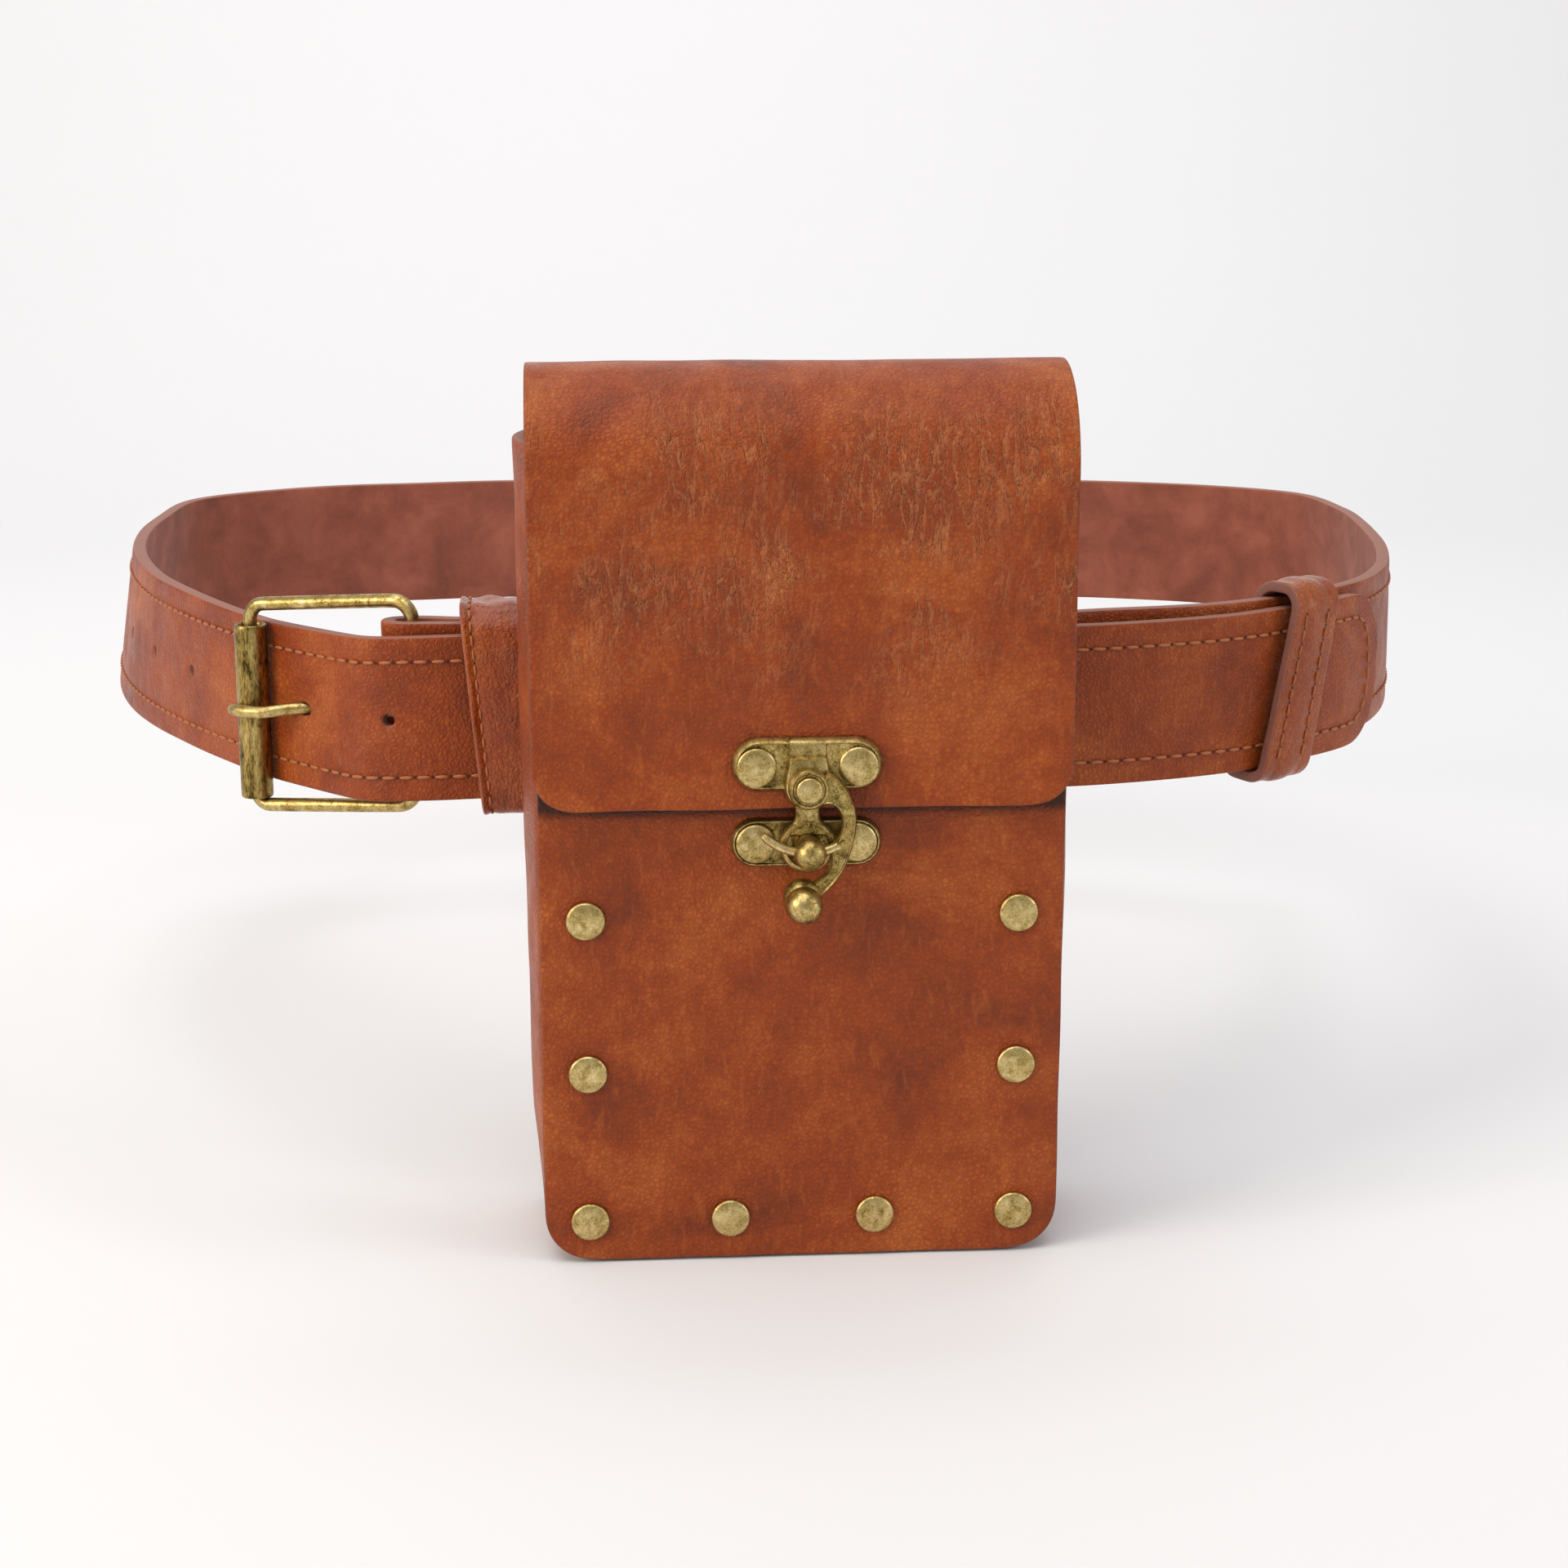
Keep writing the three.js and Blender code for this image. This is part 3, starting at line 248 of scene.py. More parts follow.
def grain_leather(name, crease=0.0, field=(), gloss=0.0, rubbed=None):
    """Waxed cowhide, drum-dyed and rubbed: clouds of dark and bright cognac, fine pebbled grain
    and fine creases, bumped and with pale painted highlights along their ridges. crease is how
    deep the long creases are and how strong their painted highlights are, field the part of the
    flat piece that has them, gloss makes it shinier, and rubbed is the height of the flap's edge,
    under which a dark line of painted shadow is drawn, with the panel hidden above it painted just as dark."""
    tones = bpy.context.scene.pouch_colours
    dark, middle, bright = tuple(tones.dark), tuple(tones.middle), tuple(tones.bright)
    material, tree, place = new_material(name)
    surface = add(tree, "TexCoord", output="UV")
    clouds = add(tree, "TexNoise", {
        "Vector": place, "Scale": per(34), "Detail": 5, "Roughness": 0.6, "Distortion": 0.7})
    drift = add(tree, "TexNoise", {
        "Vector": place, "Scale": per(11), "Detail": 6, "Roughness": 0.62, "Distortion": 0.4})
    fleck = add(tree, "TexNoise", {"Vector": place, "Scale": per(1.2), "Detail": 4, "Roughness": 0.7})
    mixed = add(tree, "Math", {0: fleck, 1: 0.2}, operation="MULTIPLY")
    mixed = add(tree, "Math", {0: drift, 1: 0.26, 2: mixed}, operation="MULTIPLY_ADD")
    mixed = add(tree, "Math", {0: clouds, 1: 0.54, 2: mixed}, operation="MULTIPLY_ADD")
    tone = add(tree, "ValToRGB", {"Fac": mixed}, stops=[(0.37, dark), (0.50, middle), (0.645, bright)])
    # The real grain is finer than a pixel here, so its cells are drawn about twice as coarse
    pores = add(tree, "TexVoronoi", {"Vector": place, "Scale": per(1.0)}, feature="DISTANCE_TO_EDGE")
    pebble = add(tree, "Math", {0: pores, 1: 3.0}, operation="MULTIPLY", use_clamp=True)
    valley = add(tree, "MapRange", {"Value": pebble, 3: 0.42, 4: 0.0})
    tone = add(tree, "Mix", {0: valley, 6: tone, 7: dark}, **COLOURS)
    drawn = add(tree, "Mapping", {"Vector": place, "Scale": (1.0, 1.0, 0.34), "Rotation": (0, 0.35, 0)})
    wrinkle = add(tree, "TexNoise", {
        "Vector": drawn, "Scale": per(2.0), "Detail": 4, "Roughness": 0.65, "Distortion": 0.8})
    worn = add(tree, "MapRange", {"Value": wrinkle, 1: 0.54, 2: 0.72, 3: 0.0, 4: 0.3})
    tone = add(tree, "Mix", {0: worn, 6: tone, 7: bright}, **COLOURS)
    swell = add(tree, "TexNoise", {"Vector": place, "Scale": per(6), "Detail": 3, "Roughness": 0.5})
    normal = add(tree, "Bump", {"Height": swell, "Distance": 0.4 * MM, "Strength": 0.4})
    for height, deep, strength in ((wrinkle, 0.35, 0.5), (pebble, 0.16, 0.7), (fleck, 0.18, 0.6)):
        normal = add(tree, "Bump", {
            "Height": height, "Distance": deep * MM, "Strength": strength, "Normal": normal})
    if crease:
        patch = add(tree, "TexNoise", {
            "Vector": place, "Scale": per(24), "Detail": 4, "Roughness": 0.6, "Distortion": 0.6})
        where = add(tree, "MapRange", {"Value": patch, 1: 0.42, 2: 0.58})
        parts = add(tree, "SeparateXYZ", {"Vector": surface}, output="Y")
        for start, end in field:
            edge = add(tree, "MapRange", {"Value": parts, 1: start * MM, 2: end * MM},
                       interpolation_type="SMOOTHSTEP")
            where = add(tree, "Math", {0: where, 1: edge}, operation="MULTIPLY")
        # Two families of thin lines: nearly upright ones, and shorter ones that cross them. Each is a ridge
        # in the bump with a pale line of painted highlight along it
        for slant, size, drawn_out, pale in ((0.16, 2.4, 0.22, 0.26), (-0.7, 2.0, 0.4, 0.14)):
            pulled = add(tree, "Mapping", {
                "Vector": surface, "Scale": (1.0, drawn_out, 1.0), "Rotation": (0, 0, slant)})
            lines = add(tree, "TexNoise", {
                "Vector": pulled, "Scale": per(size), "Detail": 4, "Roughness": 0.55, "Distortion": 0.5})
            away = add(tree, "Math", {0: lines, 1: 0.5}, operation="SUBTRACT")
            away = add(tree, "Math", {0: away}, operation="ABSOLUTE")
            line = add(tree, "MapRange", {"Value": away, 1: 0.0, 2: 0.055, 3: 1.0, 4: 0.0},
                       interpolation_type="SMOOTHSTEP")
            line = add(tree, "Math", {0: line, 1: where}, operation="MULTIPLY")
            normal = add(tree, "Bump", {
                "Height": line, "Distance": 0.26 * crease * MM, "Strength": 0.8, "Normal": normal})
            # Painted highlight: the crease ridges are drawn paler, as if they caught the light
            light = add(tree, "Math", {0: line, 1: pale * crease}, operation="MULTIPLY")
            tone = add(tree, "Mix", {0: light, 6: tone, 7: linear("#CE8A58")}, **COLOURS)
    # Painted shadow of the flap's edge on the front panel: dark from an uneven line just under the edge,
    # and dark over the panel hidden behind the flap
    if rubbed is not None:
        high = add(tree, "SeparateXYZ", {"Vector": place}, output="Z")
        uneven = add(tree, "Math", {0: drift, 1: 2.5 * MM, 2: high}, operation="MULTIPLY_ADD")
        painted_flap_shadow = add(tree, "MapRange", {
            "Value": uneven, 1: rubbed - 1.6 * MM, 2: rubbed + 1.2 * MM, 3: 0.0, 4: 0.9},
            interpolation_type="SMOOTHSTEP")
        tone = add(tree, "Mix", {0: painted_flap_shadow, 6: tone, 7: linear("#2A0E06")}, **COLOURS)
    shine = add(tree, "TexNoise", {"Vector": place, "Scale": per(7), "Detail": 4, "Roughness": 0.6})
    rough = add(tree, "MapRange", {"Value": shine, 1: 0.3, 2: 0.7, 3: 0.31 - gloss, 4: 0.52 - gloss})
    shader = add(tree, "BsdfPrincipled", {
        "Base Color": tone, "Roughness": rough, "Normal": normal, "IOR": 1.5,
        "Specular IOR Level": 0.22, "Coat Weight": 0.05 + 1.6 * gloss, "Coat Roughness": 0.2})
    add(tree, "OutputMaterial", {"Surface": shader})
    return material


def cut_leather(name, pale=1.0):
    """Cut edge of the hide, dyed and burnished: matt mauve-brown fibres in layers. pale is how
    light the edge stays: darkening it is partly burnishing and partly painted shade, for the
    shaded edges and the gap under the flap."""
    tones = bpy.context.scene.pouch_colours
    material, tree, place = new_material(name)
    fibres = add(tree, "TexNoise", {"Vector": place, "Scale": per(0.7), "Detail": 3, "Roughness": 0.6})
    patches = add(tree, "TexNoise", {"Vector": place, "Scale": per(8), "Detail": 3, "Roughness": 0.5})
    tone = tuple(tones.edge)
    for share, strength, end in ((patches, 0.5, "#6F3D30"), (fibres, 0.35, "#B08070")):
        share = add(tree, "Math", {0: share, 1: strength}, operation="MULTIPLY")
        tone = add(tree, "Mix", {0: share, 6: tone, 7: linear(end)}, **COLOURS)
    # Darkening toward near-black: partly burnishing, partly painted shade
    tone = add(tree, "Mix", {0: 1 - pale, 6: tone, 7: linear("#40190C")}, **COLOURS)
    normal = add(tree, "Bump", {"Height": fibres, "Distance": 0.08 * MM, "Strength": 0.5})
    shader = add(tree, "BsdfPrincipled", {
        "Base Color": tone, "Roughness": 0.62, "Normal": normal, "IOR": 1.5})
    add(tree, "OutputMaterial", {"Surface": shader})
    return material


def lining_leather(name):
    """Split suede lining, brushed: a soft reddish nap without shine."""
    tones = bpy.context.scene.pouch_colours
    material, tree, place = new_material(name)
    clouds = add(tree, "TexNoise", {
        "Vector": place, "Scale": per(14), "Detail": 5, "Roughness": 0.65, "Distortion": 0.3})
    nap = add(tree, "TexNoise", {"Vector": place, "Scale": per(0.7), "Detail": 3, "Roughness": 0.7})
    tone = add(tree, "ValToRGB", {"Fac": clouds}, stops=[
        (0.34, linear("#6C3425")), (0.5, tuple(tones.lining)), (0.68, linear("#95523F"))])
    brushed = add(tree, "Math", {0: nap, 1: 0.25}, operation="MULTIPLY")
    tone = add(tree, "Mix", {0: brushed, 6: tone, 7: linear("#A2644F")}, **COLOURS)
    normal = add(tree, "Bump", {"Height": nap, "Distance": 0.1 * MM, "Strength": 0.6})
    shader = add(tree, "BsdfPrincipled", {
        "Base Color": tone, "Roughness": 0.88, "Normal": normal, "IOR": 1.45,
        "Sheen Weight": 0.06, "Sheen Roughness": 0.5})
    add(tree, "OutputMaterial", {"Surface": shader})
    return material


def waxed_thread(name):
    """Waxed polyester thread, twisted: a low shine that breaks up on its strands."""
    tones = bpy.context.scene.pouch_colours
    material, tree, place = new_material(name)
    twist = add(tree, "TexNoise", {"Vector": place, "Scale": per(0.5), "Detail": 2, "Roughness": 0.5})
    share = add(tree, "Math", {0: twist, 1: 0.6}, operation="MULTIPLY")
    tone = add(tree, "Mix", {0: share, 6: tuple(tones.thread), 7: linear("#8A4A28")}, **COLOURS)
    normal = add(tree, "Bump", {"Height": twist, "Distance": 0.08 * MM, "Strength": 0.5})
    shader = add(tree, "BsdfPrincipled", {
        "Base Color": tone, "Roughness": 0.5, "Normal": normal, "IOR": 1.5})
    add(tree, "OutputMaterial", {"Surface": shader})
    return material


def needle_hole(name):
    """Painted shadow in a needle hole, where the thread dips into the leather: dark and matt."""
    material, tree, place = new_material(name)
    grain = add(tree, "TexNoise", {"Vector": place, "Scale": per(1)})
    tone = add(tree, "Mix", {0: grain, 6: linear("#35170C"), 7: linear("#4A2213")}, **COLOURS)
    shader = add(tree, "BsdfPrincipled", {"Base Color": tone, "Roughness": 0.9})
    add(tree, "OutputMaterial", {"Surface": shader})
    return material


def aged_brass(name, worn=0.5, dark=0.0, streaks=0.0):
    """Zinc casting plated with brass and antiqued: dark speckle in the low spots, rubbed bright
    on top. worn is how bright, dark is how much of the blackening stays, streaks is how far
    brushing has drawn it out upwards."""
    tones = bpy.context.scene.pouch_colours
    material, tree, place = new_material(name)
    if streaks:
        place = add(tree, "Mapping", {"Vector": place, "Scale": (1, 1, 1 / streaks)})
    clouds = add(tree, "TexNoise", {
        "Vector": place, "Scale": per(2.2), "Detail": 4, "Roughness": 0.6, "Distortion": 0.4})
    speckle = add(tree, "TexNoise", {"Vector": place, "Scale": per(0.4), "Detail": 4, "Roughness": 0.75})
    mixed = add(tree, "Math", {0: speckle, 1: 0.5}, operation="MULTIPLY")
    mixed = add(tree, "Math", {0: clouds, 1: 0.5, 2: mixed}, operation="MULTIPLY_ADD")
    low = 0.36 + 0.1 * dark
    tone = add(tree, "ValToRGB", {"Fac": mixed}, stops=[
        (low, tuple(tones.brass_dark)), (low + 0.12, tuple(tones.brass)),
        (0.75 - 0.14 * worn, tuple(tones.brass_bright))])
    rough = add(tree, "ValToRGB", {"Fac": mixed}, stops=[(0.3, grey(0.5)), (0.7, grey(0.22))])
    normal = add(tree, "Bump", {"Height": speckle, "Distance": 0.06 * MM, "Strength": 0.4})
    shader = add(tree, "BsdfPrincipled", {
        "Base Color": tone, "Roughness": rough, "Metallic": 1.0, "Normal": normal})
    add(tree, "OutputMaterial", {"Surface": shader})
    return material


def matt_paper(name):
    """Seamless paper backdrop, uncoated: pale, matt and nearly even."""
    tones = bpy.context.scene.pouch_colours
    material, tree, place = new_material(name)
    cloud = add(tree, "TexNoise", {"Vector": place, "Scale": per(900), "Detail": 2})
    share = add(tree, "Math", {0: cloud, 1: 0.1}, operation="MULTIPLY")
    tone = add(tree, "Mix", {0: share, 6: tuple(tones.floor), 7: linear("#DCDBDB")}, **COLOURS)
    shader = add(tree, "BsdfPrincipled", {"Base Color": tone, "Roughness": 0.9})
    add(tree, "OutputMaterial", {"Surface": shader})
    return material


made_finishes = {}


def material_of(name):
    """The finish of that name, made when it is first asked for."""
    makers = {
        "flap_leather": lambda: grain_leather(
            "waxed_cowhide_creased", crease=1.0, field=((184, 208), (264, 226))),
        "leather": lambda: grain_leather("waxed_cowhide"),
        # Front panel with a painted shadow under the flap's edge
        "panel_leather": lambda: grain_leather("waxed_cowhide_with_painted_shade", rubbed=FLAP_EDGE),
        "glossy_leather": lambda: grain_leather("waxed_cowhide_glossy", crease=0.35, gloss=0.16),
        "edge": lambda: cut_leather("cut_cowhide_edge"),
        # Flap and front panel edges: darker, partly burnished and partly painted shade for the shadowed gap
        # under the flap
        "dark_edge": lambda: cut_leather("burnished_cowhide_edge_with_painted_shade", 0.35),
        "lining": lambda: lining_leather("split_suede_lining"),
        "thread": lambda: waxed_thread("waxed_polyester_thread"),
        "needle_hole": lambda: needle_hole("needle_hole_shadow"),
        "brass": lambda: aged_brass("antiqued_brass_plate"),
        "brass_recess": lambda: aged_brass("antiqued_brass_recess", worn=0.3, dark=0.35),
        "brass_cap": lambda: aged_brass("antiqued_brass_rubbed", worn=0.8, dark=-0.6),
        "brass_rim": lambda: aged_brass("antiqued_brass_worn_edge", worn=1.3, dark=-1.0),
        "brass_wire": lambda: aged_brass("antiqued_brass_wire", worn=0.6, dark=-0.2),
        "brass_tube": lambda: aged_brass("antiqued_brass_brushed_tube", worn=0.0, dark=0.45, streaks=4),
        "paper": lambda: matt_paper("matt_white_paper"),
    }
    if name not in made_finishes:
        made_finishes[name] = makers[name]()
    return made_finishes[name]


LEATHER = ("leather", "edge", "lining")
BRASS = ("brass", "brass_recess", "brass_rim")


# Shapes


def smooth_line(points, steps):
    """Points on a smooth line through the given ones (centripetal Catmull-Rom)."""
    line = []
    for i in range(len(points) - 1):
        first, second = points[i], points[i + 1]
        before = points[i - 1] if i else 2 * first - second
        after = points[i + 2] if i + 2 < len(points) else 2 * second - first
        knots = [(b - a).length ** 0.5 for a, b in ((before, first), (first, second), (second, after))]
        d0, d1, d2 = [k if k > 1e-6 else knots[1] for k in knots]
        leave = ((first - before) / d0 - (second - before) / (d0 + d1) + (second - first) / d1) * d1
        reach = ((second - first) / d1 - (after - first) / (d1 + d2) + (after - second) / d2) * d1
        for step in range(steps):
            t = step / steps
            line.append(first + leave * t + (3 * (second - first) - 2 * leave - reach) * t ** 2
                        + (2 * (first - second) + leave + reach) * t ** 3)
    line.append(points[-1].copy())
    return line


def arc(middle, radius, start, end, steps):
    """Points on an arc in the plane, angles in degrees."""
    turns = [math.radians(start + (end - start) * i / steps) for i in range(steps + 1)]
    return [Vector((middle[0] + radius * math.cos(t), middle[1] + radius * math.sin(t), 0)) for t in turns]


def rounded_box(left, right, bottom, top, low, high, steps=6):
    """Closed outline with round corners, from the middle of the left side, anticlockwise."""
    return [
        Vector((left, (bottom + top) / 2, 0)),
        *arc((left + low, bottom + low), low, 180, 270, steps),
        *arc((right - low, bottom + low), low, 270, 360, steps),
        *arc((right - high, top - high), high, 0, 90, steps),
        *arc((left + high, top - high), high, 90, 180, steps),
        Vector((left, (bottom + top) / 2, 0)),
    ]


class Line:
    """A line of points with lengths along it."""

    def __init__(self, points):
        self.points = points
        self.along = [0.0]
        for a, b in zip(points, points[1:]):
            self.along.append(self.along[-1] + (b - a).length)
        self.length = self.along[-1]

    def share(self, along):
        i = min(max(bisect_right(self.along, along) - 1, 0), len(self.points) - 2)
        return i, (along - self.along[i]) / max(self.along[i + 1] - self.along[i], 1e-9)

    def at(self, along):
        i, share = self.share(along)
        return self.points[i].lerp(self.points[i + 1], share)

    def ahead(self, along):
        step = 0.4 * MM
        low, high = max(along - step, 0), min(along + step, self.length)
        return (self.at(high) - self.at(low)).normalized()

    def aside(self, along):
        """Square to the line in its plane: outwards on an anticlockwise outline."""
        ahead = self.ahead(along)
        return Vector((ahead.y, -ahead.x, 0))


def rounded_half(half, radius, from_end):
    """Half width near an end with round corners."""
    if from_end >= radius:
        return half
    return half - radius + math.sqrt(max(radius ** 2 - (radius - from_end) ** 2, 0))


def packed(share, reach, start, end):
    """Rows along a piece: evenly spaced, but crowded where the round corners begin and end."""
    for near, size, back in ((share, start, False), (1 - share, end, True)):
        edge = 1.6 * size / reach
        if size and near < edge:
            near = edge * (near / edge) ** 1.7
            return reach * (1 - near if back else near)
    return reach * share


def waves(x, y, size, seed):
    """Slow unevenness between -1 and 1."""
    return noise.noise(Vector((x / size, y / size, seed)))


def sheet(cells_across, cells_along, thickness, flat, place, soft, holes=(), open_at=None):
    """A piece of leather: cut flat, given its thickness and soft edges, then bent into place.
    flat turns shares into a place on the flat piece, place bends that with its depth. holes are
    the spots, radii and stretches of punched holes, and open_at says where a slot is cut."""
    bm = bmesh.new()
    bmesh.ops.create_grid(bm, x_segments=cells_across, y_segments=cells_along, size=1)
    for vert in bm.verts:
        x, y = flat(vert.co.x, (vert.co.y + 1) / 2)
        vert.co = (x, y, 0)
    for spot, radius, stretch in holes:
        punch(bm, spot, radius, stretch)
    if open_at:
        gone = [face for face in bm.faces if open_at(*face.calc_center_median().xy)]
        bmesh.ops.delete(bm, geom=gone, context="FACES")
    grown = bmesh.ops.extrude_face_region(bm, geom=bm.faces[:], use_keep_orig=True)
    inner = [item for item in grown["geom"] if isinstance(item, bmesh.types.BMVert)]
    bmesh.ops.translate(bm, verts=inner, vec=(0, 0, -thickness))
    bmesh.ops.recalc_face_normals(bm, faces=bm.faces)
    rims = [edge for edge in bm.edges if edge.is_manifold and edge.calc_face_angle() > 1]
    bmesh.ops.bevel(bm, geom=rims, offset=soft, segments=2, profile=0.5, affect="EDGES", material=-1)
    pattern = bm.loops.layers.uv.new("pattern")
    for face in bm.faces:
        up = face.normal.z
        face.material_index = 0 if up > 0.9 else 2 if up < -0.9 else 1
        for loop in face.loops:
            loop[pattern].uv = loop.vert.co.xy
    for vert in bm.verts:
        vert.co = place(*vert.co)
    bmesh.ops.recalc_face_normals(bm, faces=bm.faces)
    return bm


def punch(bm, spot, radius, stretch):
    """Punches a round hole at the grid corner nearest to a spot."""
    hub = min(bm.verts, key=lambda vert: (vert.co.xy - spot).length)
    faces = hub.link_faces[:]
    bmesh.ops.inset_region(bm, faces=faces, thickness=radius / 8, use_even_offset=True)
    ring = {vert for face in faces for vert in face.verts} - {hub}
    for vert in ring:
        away = (vert.co - hub.co).normalized()
        vert.co = hub.co + Vector((away.x, away.y * stretch, 0)) * radius
    bmesh.ops.delete(bm, geom=faces, context="FACES")


def joined(bm, part, to_place=None):
    """Adds a finished shape to a piece, each of its corners put in place first."""
    if to_place:
        for vert in part.verts:
            vert.co = to_place(vert.co)
    mesh = bpy.data.meshes.new("shape")
    part.to_mesh(mesh)
    part.free()
    bm.from_mesh(mesh)
    bpy.data.meshes.remove(mesh)


def turned(bm, profile, spot, axis, steps=48):
    """Spins a profile of radius and distance along the axis."""
    part = bmesh.new()
    verts = [part.verts.new((radius, 0, reach)) for radius, reach in profile]
    edges = [part.edges.new(pair) for pair in zip(verts, verts[1:])]
    bmesh.ops.spin(part, geom=verts + edges, cent=(0, 0, 0), axis=(0, 0, 1), angle=2 * math.pi,
                   steps=steps, use_merge=True)
    bmesh.ops.remove_doubles(part, verts=part.verts, dist=0.001 * MM)
    bmesh.ops.recalc_face_normals(part, faces=part.faces)
    turn = Vector((0, 0, 1)).rotation_difference(Vector(axis)).to_matrix().to_4x4()
    bmesh.ops.transform(part, matrix=Matrix.Translation(spot) @ turn, verts=part.verts)
    joined(bm, part)


def swept(bm, points, radii, sides=12, closed=False, across=Vector((0, 0, 1)), finish=0):
    """A rod along points; each point has its radius, and across is a direction it never takes."""
    part = bmesh.new()
    count = len(points)
    stations = []
    for i, point in enumerate(points):
        before = points[i - 1] if i or closed else point
        after = points[(i + 1) % count] if i + 1 < count or closed else point
        ahead = (after - before).normalized()
        side = (across - ahead * across.dot(ahead)).normalized()
        station = Matrix((side, ahead.cross(side), ahead)).transposed().to_4x4()
        station.translation = point
        stations.append(station @ Matrix.Diagonal((radii[i], radii[i], 1, 1)))
    ring = bmesh.ops.create_circle(part, cap_ends=False, segments=sides, radius=1, matrix=stations[0])
    edges = list({edge for vert in ring["verts"] for edge in vert.link_edges})
    if closed:
        stations.append(stations[0])
    for before, station in zip(stations, stations[1:]):
        grown = bmesh.ops.extrude_edge_only(part, edges=edges)["geom"]
        edges = [item for item in grown if isinstance(item, bmesh.types.BMEdge)]
        verts = [item for item in grown if isinstance(item, bmesh.types.BMVert)]
        bmesh.ops.transform(part, matrix=station @ before.inverted(), verts=verts)
    if closed:
        bmesh.ops.remove_doubles(part, verts=part.verts, dist=0.001 * MM)
    else:
        bmesh.ops.holes_fill(part, edges=part.edges, sides=sides)
    bmesh.ops.recalc_face_normals(part, faces=part.faces)
    for face in part.faces:
        face.material_index = finish
    joined(bm, part)


def casting(bm, outline, rear, steps, to_place):
    """A raised shape on an outline: each step is how far in it goes and how high it rises.
    A last step that sinks leaves a floor of the second finish."""
    part = bmesh.new()
    face = part.faces.new([part.verts.new((point.x, point.y, rear)) for point in outline])
    face.normal_update()
    if face.normal.z < 0:
        face.normal_flip()
    (front,) = bmesh.ops.extrude_discrete_faces(part, faces=[face.copy()])["faces"]
    bmesh.ops.translate(part, verts=front.verts, vec=(0, 0, 0.02 * MM))
    face.normal_flip()
    for inward, rise in steps:
        bmesh.ops.inset_region(part, faces=[front], thickness=inward, depth=rise, use_even_offset=True)
    if steps[-1][1] < 0:
        front.material_index = 1
    bmesh.ops.remove_doubles(part, verts=part.verts, dist=0.001 * MM)
    joined(bm, part, to_place)


def soften(bm, width, angle=30, segments=2):
    """Rounds every edge that is sharper than an angle and gives it the third finish."""
    sharp = [edge for edge in bm.edges if edge.is_manifold and edge.calc_face_angle() > math.radians(angle)]
    rounded = bmesh.ops.bevel(bm, geom=sharp, offset=width, segments=segments, profile=0.5, affect="EDGES",
                              material=-1, clamp_overlap=True)
    for face in rounded["faces"]:
        face.material_index = 2


def finish_piece(bm, name, finishes, body="pouch", nodes=(), smooth=1, sharp=None):
    """Turns a bmesh into a piece of the object with its finishes. nodes are the solids that it
    stands for, smooth is its level of subdivision, and an edge past sharp degrees stays sharp."""
    mesh = bpy.data.meshes.new(name)
    bm.to_mesh(mesh)
    bm.free()
    for finish in finishes:
        mesh.materials.append(material_of(finish))
    mesh.polygons.foreach_set("use_smooth", [True] * len(mesh.polygons))
    if sharp:
        mesh.set_sharp_from_angle(angle=math.radians(sharp))
    piece = bpy.data.objects.new(name, mesh)
    bpy.context.scene.collection.objects.link(piece)
    if smooth:
        modifier = piece.modifiers.new("smooth", "SUBSURF")
        modifier.levels = modifier.render_levels = smooth
    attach(piece, body)
    if nodes:
        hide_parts(*nodes)
    return piece


# The belt's route


# Strap round the waist: x and y are shares of half the loop's width and depth, lean is how far the
# lower edge stands out as a share of the belt's width, rise is a share of the rear layer's rise
WAIST_ROUTE = [
    {"x": 0.374, "y": -0.940, "lean": 0, "rise": 1},
    {"x": 0.554, "y": -0.880, "lean": 0, "rise": 1},
    {"x": 0.670, "y": -0.793, "lean": 0, "rise": 0.9},
    {"x": 0.783, "y": -0.660, "lean": 0, "rise": 0.8},
    {"x": 0.870, "y": -0.467, "lean": 0.01, "rise": 0.6},
    {"x": 0.934, "y": -0.201, "lean": 0.02, "rise": 0.4},
    {"x": 0.979, "y": 0.120, "lean": 0.03, "rise": 0.2},
    {"x": 1.000, "y": 0.400, "lean": 0.03, "rise": 0},
    {"x": 0.970, "y": 0.620, "lean": 0.03, "rise": 0},
    {"x": 0.847, "y": 0.770, "lean": 0.02, "rise": 0},
    {"x": 0.625, "y": 0.875, "lean": 0.01, "rise": 0},
    {"x": 0.244, "y": 0.972, "lean": 0, "rise": 0},
    {"x": -0.130, "y": 1.000, "lean": 0, "rise": 0},
    {"x": -0.484, "y": 0.970, "lean": 0.02, "rise": 0},
    {"x": -0.803, "y": 0.880, "lean": 0.05, "rise": 0},
    {"x": -0.961, "y": 0.715, "lean": 0.1, "rise": 0},
    {"x": -1.000, "y": 0.440, "lean": 0.14, "rise": 0},
    {"x": -0.998, "y": 0.100, "lean": 0.15, "rise": 0},
    {"x": -0.947, "y": -0.225, "lean": 0.12, "rise": 0},
    {"x": -0.854, "y": -0.500, "lean": 0.06, "rise": -0.3},
]

# Free end over the rear layer: share of the way along it, and how far it stands off
BILLET_END = [
    {"at": 0.03, "room": 1},
    {"at": 0.25, "room": 0.4},
    {"at": 0.48, "room": 0},
    {"at": 0.63, "room": 0},
    {"at": 0.8, "room": 0},
]


